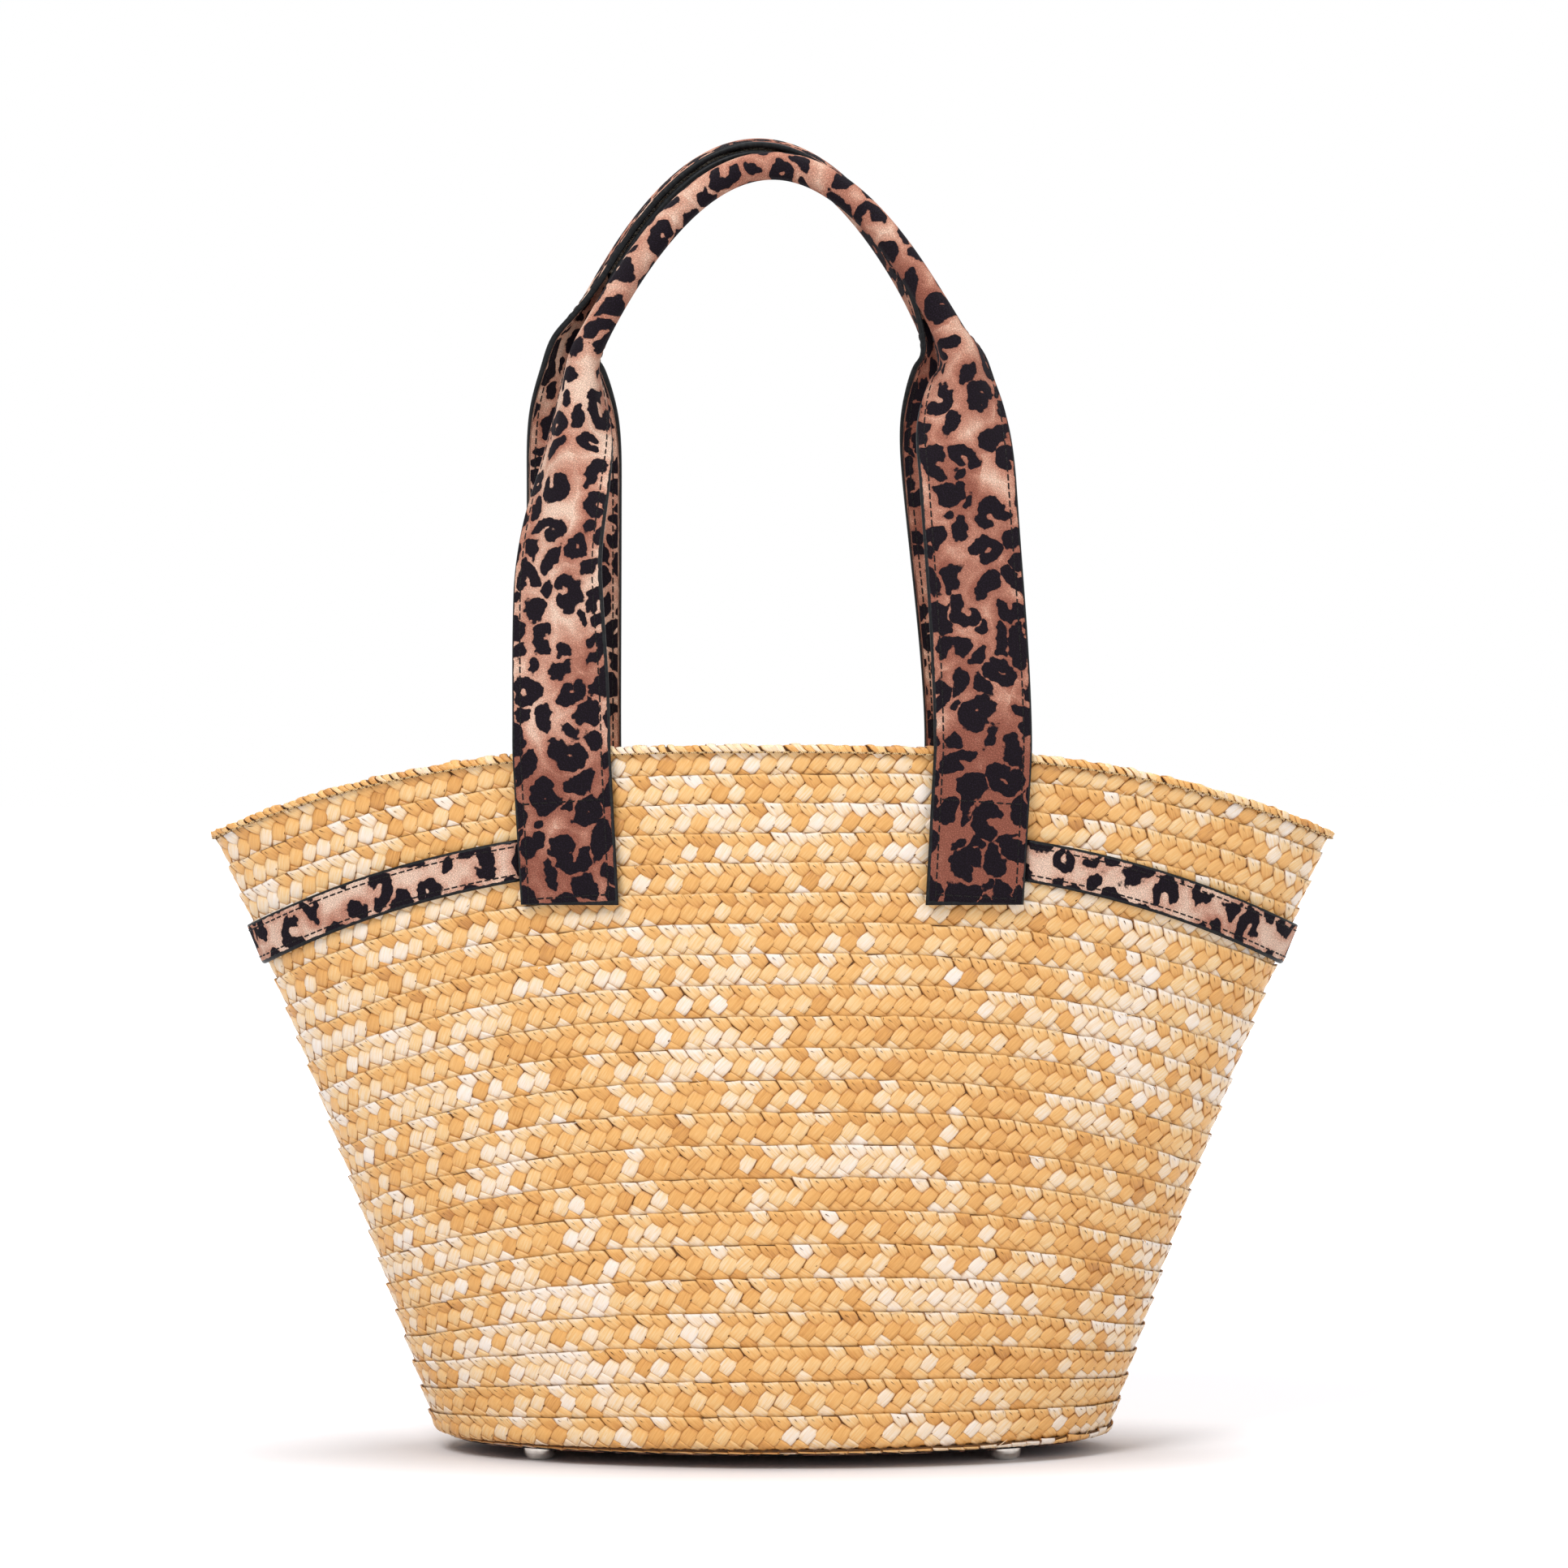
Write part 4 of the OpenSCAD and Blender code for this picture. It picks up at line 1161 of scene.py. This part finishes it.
def strap_skin(name, strap, front):
    """The strap as one skin from tab to tab: its outline carried along the frames."""
    u, d, inner = strap_outline(FACE_U, STRAP_T, BEAD_R)
    s = strap.s[:, None] + 0 * u
    points = strap.place(u + 0 * s, s, d + 0 * s)
    quads, caps = tube_faces(*s.shape, not front)
    print_u = u + INNER_PRINT * (inner > 0.75) + (0 if front else BACK_PRINT)
    uv = np.stack([print_u + 0 * s, s], -1)
    paler = ease((s - 0.35 * strap.length) / (0.3 * strap.length))
    fields = {"edge_mm": STRAP_W / 2 - np.abs(u) + 0 * s,
              "end_mm": np.minimum(s, strap.length - s),
              "pale": mix(DARK_LEG, PALE_LEG, paler)}
    return make_piece(name + "_strap", points, quads, PRINTED, uv, fields, caps)


def strap_stitches(name, strap, front, face, sign):
    """Stitches of one face: a line along both edges and, on the outer face, lines across both tabs."""
    along = np.arange(3.4, strap.length - 3.0, STITCH_STEP)
    lines = [np.stack([np.full(along.shape, side * STITCH_U), along, 0 * along]) for side in (-1, 1)]
    if sign > 0:
        across = np.arange(-STITCH_U + STITCH_STEP / 2, STITCH_U, STITCH_STEP)
        for line in (BOX_LOW, BOX_HIGH, strap.length - BOX_LOW, strap.length - BOX_HIGH):
            lines.append(np.stack([across, 0 * across + line, 0 * across + math.pi / 2]))
    stitch_u, stitch_s, turn = np.concatenate(lines, 1)

    def place(u, s, lift):
        """Place over this face of the strap."""
        return strap.place(u, s, sign * (STRAP_T / 2 + lift))

    return make_stitches(f"{name}_strap_{face}_stitches", place, stitch_u, stitch_s, STITCH_LEN, THREAD_R,
                         DARK_THREAD, turn, front == (sign > 0))


def make_strap(name, strap, front, tabs):
    """Strap skin and the stitches of both faces, with their transforms baked in and the solids they stand
    for hidden.
    """
    body = name + "_handle"
    skin = strap_skin(name, strap, front)
    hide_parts(body + "_outer_strip", body + "_inner_strip", *tabs)
    outer = strap_stitches(name, strap, front, "outer", 1)
    inner = strap_stitches(name, strap, front, "inner", -1)
    for obj in (skin, outer, inner):
        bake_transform(obj)


FRONT_STRAP = Strap((RIGHT_TWIST, LEFT_TWIST), LEG_BOW, LEFT_CURL_LEN, 0.0, 0.0, True)
BACK_STRAP = Strap((0.0, 0.0), 0.0, CURL_LEN, GRIP_SHIFT, GRIP_LIFT, False)
make_strap("front", FRONT_STRAP, True, ("tab_front_left", "tab_front_right"))
make_strap("back", BACK_STRAP, False, ("tab_back_left", "tab_back_right"))


# Side bands

def make_band(name, side):
    """Band round one end of the bag, from tab to tab, on the outside of the courses. Its height on the
    wall falls with the square of the way from the bag's end to a tab."""
    outline_u, outline_d, _ = strap_outline(BAND_W / 2 - BAND_FACE_IN, BAND_T, BAND_BEAD_R)
    q = np.linspace(-1, 1, 120)[:, None]
    base = COURSE_LAP + LIE_GAP + BAND_T / 2

    def place(u, q, d):
        """Place at u across the band, the share q of the way to a tab, and d out from its middle."""
        v = 1 - (BAND_BELOW_RIM - u - BAND_DROOP * (q * q - 0.5)) / WALL_H
        t = q * angle_at(strap_x_at(v) + STRAP_W / 2 - BAND_TUCK, v)
        return wall_point(t, v, base + d) * np.array([side, 1.0, 1.0])

    def on_band(u, along, lift):
        """Place over the outer face, at a length along the band."""
        return place(u, np.interp(along, s, q[:, 0]), BAND_T / 2 + lift)

    points = place(outline_u + 0 * q, q + 0 * outline_u, outline_d + 0 * q)
    s = run_lengths(place(0 * q[:, 0], q[:, 0], 0 * q[:, 0]))
    quads, caps = tube_faces(*points.shape[:2], side > 0)
    print_u = outline_u + BAND_PRINT + BAND_PRINT_STEP * side
    uv = np.stack([print_u + 0 * q, s[:, None] + 0 * outline_u], -1)
    fields = {"edge_mm": BAND_W / 2 - np.abs(outline_u) + 0 * q,
              "end_mm": np.full(points.shape[:2], NO_SEWN_END),
              "pale": np.ones(points.shape[:2])}
    skin = make_piece(f"side_band_{name}", points, quads, PRINTED, uv, fields, caps)
    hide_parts(f"band_{name}")
    along = np.arange(2.5, s[-1] - 2, BAND_STITCH_STEP)
    lines = [np.full(along.shape, edge * (BAND_W / 2 - BAND_STITCH_IN)) for edge in (-1, 1)]
    thread = make_stitches(f"side_band_{name}_stitches", on_band, np.concatenate(lines),
                           np.tile(along, 2), BAND_STITCH_LEN, BAND_THREAD_R, DARK_THREAD,
                           flip=side < 0)
    for obj in (skin, thread):
        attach(obj, "bag")


make_band("left", -1)
make_band("right", 1)


# Base

def base_ring(t, inset):
    """Oval of the base, moved in by inset."""
    return wall_point(t, 0.0, -inset)


def oval_plate(name, inset, profile, material):
    """Closed plate over the base oval: profile is a list of (inset from its edge, height), from the
    underside out to the edge and back over the top. Shrunk copies of its first and last ring close
    the middle of both faces."""
    t = np.linspace(0, TAU, 160, endpoint=False)[None, :]
    inner, z = (np.array(c, float)[:, None] for c in zip(*profile))
    points = base_ring(t + 0 * z, inset + inner + 0 * t)
    points[..., 2] = z + 0 * t
    shrink = np.array([0.06, 0.3, 0.6, 0.85])[:, None, None] * np.array([1, 1, 0]) + np.array([0, 0, 1])
    points = np.concatenate([points[:1] * shrink, points, points[-1:] * shrink[::-1]])
    inner = np.pad(inner, ((len(shrink), len(shrink)), (0, 0)), "edge")
    quads, caps = tube_faces(*points.shape[:2])
    uv = points[..., :2] + PATCH_PRINT
    plain = 0 * points[..., 0]
    fields = {"edge_mm": inner + 0 * t, "end_mm": NO_SEWN_END + plain, "tone": 0.45 + plain,
              "dark": plain, "pale": plain, "across": 0.5 + plain}
    plate = make_piece(name, points, quads, material, uv, fields, caps)
    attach(plate, "bag")
    return plate


def make_base():
    """Printed patch with a round edge and a row of stitches, and the straw bottom on top of it."""
    low, high = PATCH_Z, BOTTOM_Z - 0.1
    patch = oval_plate("base_patch_printed", PATCH_INSET, [
        (12, low), (4, low), (1.6, low), (0.5, low + 0.45), (0, low + 1.4),
        (0.5, low + 2.4), (1.6, high), (12, high)], PRINTED)
    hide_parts("base_patch")
    bottom = oval_plate("straw_bottom_plait", 1.5, [
        (24, BOTTOM_Z + 0.2), (6, BOTTOM_Z + 0.3), (2.5, BOTTOM_Z + 0.6), (0.8, BOTTOM_Z + 1.4),
        (0.8, WALL_Z0 - 0.5), (2.5, WALL_Z0 - 0.1), (24, WALL_Z0 - 0.1)], STRAW)
    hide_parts("straw_bottom")
    t = np.linspace(0, TAU, 2001)
    line = PATCH_INSET + PATCH_STITCH_IN
    s = run_lengths(base_ring(t, line))
    stitch_s = np.arange(2, s[-1] - 2, PATCH_STITCH_STEP)

    def under(u, along, lift):
        """Place under the patch, u in from the stitch line."""
        points = base_ring(np.interp(along, s, t), line + u)
        points[..., 2] = PATCH_Z - lift
        return points

    thread = make_stitches("base_patch_stitches", under, 0 * stitch_s, stitch_s, STITCH_LEN, THREAD_R,
                           DARK_THREAD, flip=True)
    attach(thread, "bag")


make_base()


# Lining

def make_lining():
    """Cloth bag inside: it follows the wall, with soft upright folds that fade at the rim and the floor,
    and a flat floor that closes in the middle."""
    around, up = 240, 36
    t = np.linspace(0, TAU, around, endpoint=False)[None, :]
    v = np.linspace(1 - 0.6 * EDGE_T / WALL_H, (LINING_Z + 0.7 - WALL_Z0) / WALL_H, up)[:, None]
    waves = ((0.5, 9, 0.4, 2.0), (0.4, 17, 1.9, -3.0), (0.3, 31, 4.4, 5.0))
    fold = sum(size * np.sin(folds * t + start + lean * v) for size, folds, start, lean in waves)
    depth = (0.6 + np.maximum(fold, -0.5)) * np.sin(math.pi * np.clip(v, 0, 1)) ** 0.6
    wall = wall_point(t + 0 * v, v + 0 * t, -(STRAW_T + LIE_GAP + 0.5 + depth))
    shrink = np.array([0.97, 0.9, 0.75, 0.55, 0.3, 0.1])[:, None, None]
    floor = wall[-1][None] * np.concatenate([shrink, shrink, np.ones_like(shrink)], -1)
    floor[..., 2] = LINING_Z + 0.65
    points = np.concatenate([wall, floor])
    girth = np.linspace(0, LINING_GIRTH, around, endpoint=False)
    drop = np.concatenate([(1 - v[:, 0]) * WALL_H, WALL_H + np.arange(1, len(floor) + 1) * 14.0])
    uv = np.stack([girth + 0 * drop[:, None], drop[:, None] + 0 * girth], -1)
    quads, caps = tube_faces(*points.shape[:2])
    lining = make_piece("lining_cloth", points, quads, COTTON, uv, caps=caps[1:])
    solid = lining.modifiers.new("thickness", "SOLIDIFY")
    solid.thickness = LINING_T * MM
    solid.offset = -1.0
    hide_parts("lining")
    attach(lining, "bag")


make_lining()


# Pieces that keep their solids

SOLID_FINISHES = {"foot": NICKEL, "washer": STEEL, "base_board": BOARD, "cord": FILLER}

for node_name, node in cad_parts.items():
    for word, finish in SOLID_FINISHES.items():
        if word in node_name:
            node.data.materials.clear()
            node.data.materials.append(finish)


# Studio, in metres

CAMERA_BACK, CAMERA_X, CAMERA_Z = 2.2, 0.0047, 0.2726
PIXELS_PER_MM, FRAME_PIXELS, SENSOR = 3.0, 1932, 36.0
FLOOR_TONE, SHADE_LEN, SHADE_DEP = (0.8, 0.785, 0.81, 1), 0.138, 0.074
WORLD_LIGHT = 0.45


def make_camera():
    """Level camera in front of the bag. Its lens gives the named scale at the middle of the bag."""
    data = bpy.data.cameras.new("front_camera")
    data.sensor_width = SENSOR
    data.lens = SENSOR * CAMERA_BACK * PIXELS_PER_MM / MM / FRAME_PIXELS
    camera = bpy.data.objects.new("front_camera", data)
    camera.location = (CAMERA_X, -CAMERA_BACK, CAMERA_Z)
    camera.rotation_euler = (math.pi / 2, 0, 0)
    bpy.context.scene.collection.objects.link(camera)
    bpy.context.scene.camera = camera


def make_lamp(name, place, target, size, power):
    """Soft round lamp turned to its target."""
    data = bpy.data.lights.new(name, "AREA")
    data.shape, data.size, data.energy = "DISK", size, power
    lamp = bpy.data.objects.new(name, data)
    lamp.location = place
    away = np.array(place) - np.array(target)
    lamp.rotation_euler = (math.atan2(math.hypot(away[0], away[1]), away[2]), 0,
                           math.atan2(away[1], away[0]) + math.pi / 2)
    bpy.context.scene.collection.objects.link(lamp)


def seen_rays(tree):
    """1 for the rays that show the studio: those of the camera, of gloss and of clear pieces."""
    path = add(tree, "ShaderNodeLightPath").outputs
    shown = calc(tree, "MAXIMUM", path["Is Glossy Ray"], path["Is Transmission Ray"])
    return calc(tree, "MAXIMUM", path["Is Camera Ray"], shown)


def make_floor():
    """White floor that keeps the shadow: where it is seen, it glows by what the lamps leave below white,
    but not in an oval under the bag."""
    mesh = bpy.data.meshes.new("studio_floor")
    mesh.from_pydata([(-30, -30, 0), (30, -30, 0), (30, 60, 0), (-30, 60, 0)], [], [(0, 1, 2, 3)])
    floor = bpy.data.objects.new("studio_floor", mesh)
    bpy.context.scene.collection.objects.link(floor)
    material, tree, shader = new_material("studio_white")
    shader.inputs["Base Color"].default_value = FLOOR_TONE
    shader.inputs["Roughness"].default_value = 1.0
    shader.inputs["Specular IOR Level"].default_value = 0.0
    place = add(tree, "ShaderNodeTexCoord").outputs["Object"]
    oval = vector(tree, "LENGTH", vector(tree, "MULTIPLY", place, (1 / SHADE_LEN, 1 / SHADE_DEP, 1.0)))
    near_white = span(tree, oval, 0.8, 1.9, 0.0, 0.27)
    far_white = span(tree, vector(tree, "LENGTH", place), 0.3, 1.1, 0.0, 0.73)
    strength = calc(tree, "MULTIPLY", seen_rays(tree), calc(tree, "ADD", near_white, far_white))
    glow = add(tree, "ShaderNodeEmission", {"Color": (1, 1, 1, 1), "Strength": strength})
    both = add(tree, "ShaderNodeAddShader", {0: shader.outputs[0], 1: glow.outputs[0]})
    tree.links.new(both.outputs[0], tree.nodes["Material Output"].inputs["Surface"])
    mesh.materials.append(material)


def make_world():
    """White surroundings: plain white to the camera and to gloss, softer as light."""
    world = bpy.data.worlds.new("studio_world")
    bpy.context.scene.world = world
    world.use_nodes = True
    tree = world.node_tree
    strength = calc(tree, "MULTIPLY_ADD", seen_rays(tree), 1 - WORLD_LIGHT, WORLD_LIGHT)
    background = tree.nodes["Background"]
    background.inputs["Color"].default_value = (1, 1, 1, 1)
    tree.links.new(strength, background.inputs["Strength"])


make_camera()
make_floor()
make_world()
make_lamp("key_lamp", (-0.9, -1.7, 2.0), (0, 0, 0.25), 1.1, 39)
make_lamp("fill_lamp", (1.6, -1.7, 0.9), (0, 0, 0.25), 1.4, 11)
make_lamp("top_lamp", (0.2, 0.2, 2.2), (0, 0, 0.2), 1.2, 22)
bpy.context.scene.view_settings.view_transform = "Standard"
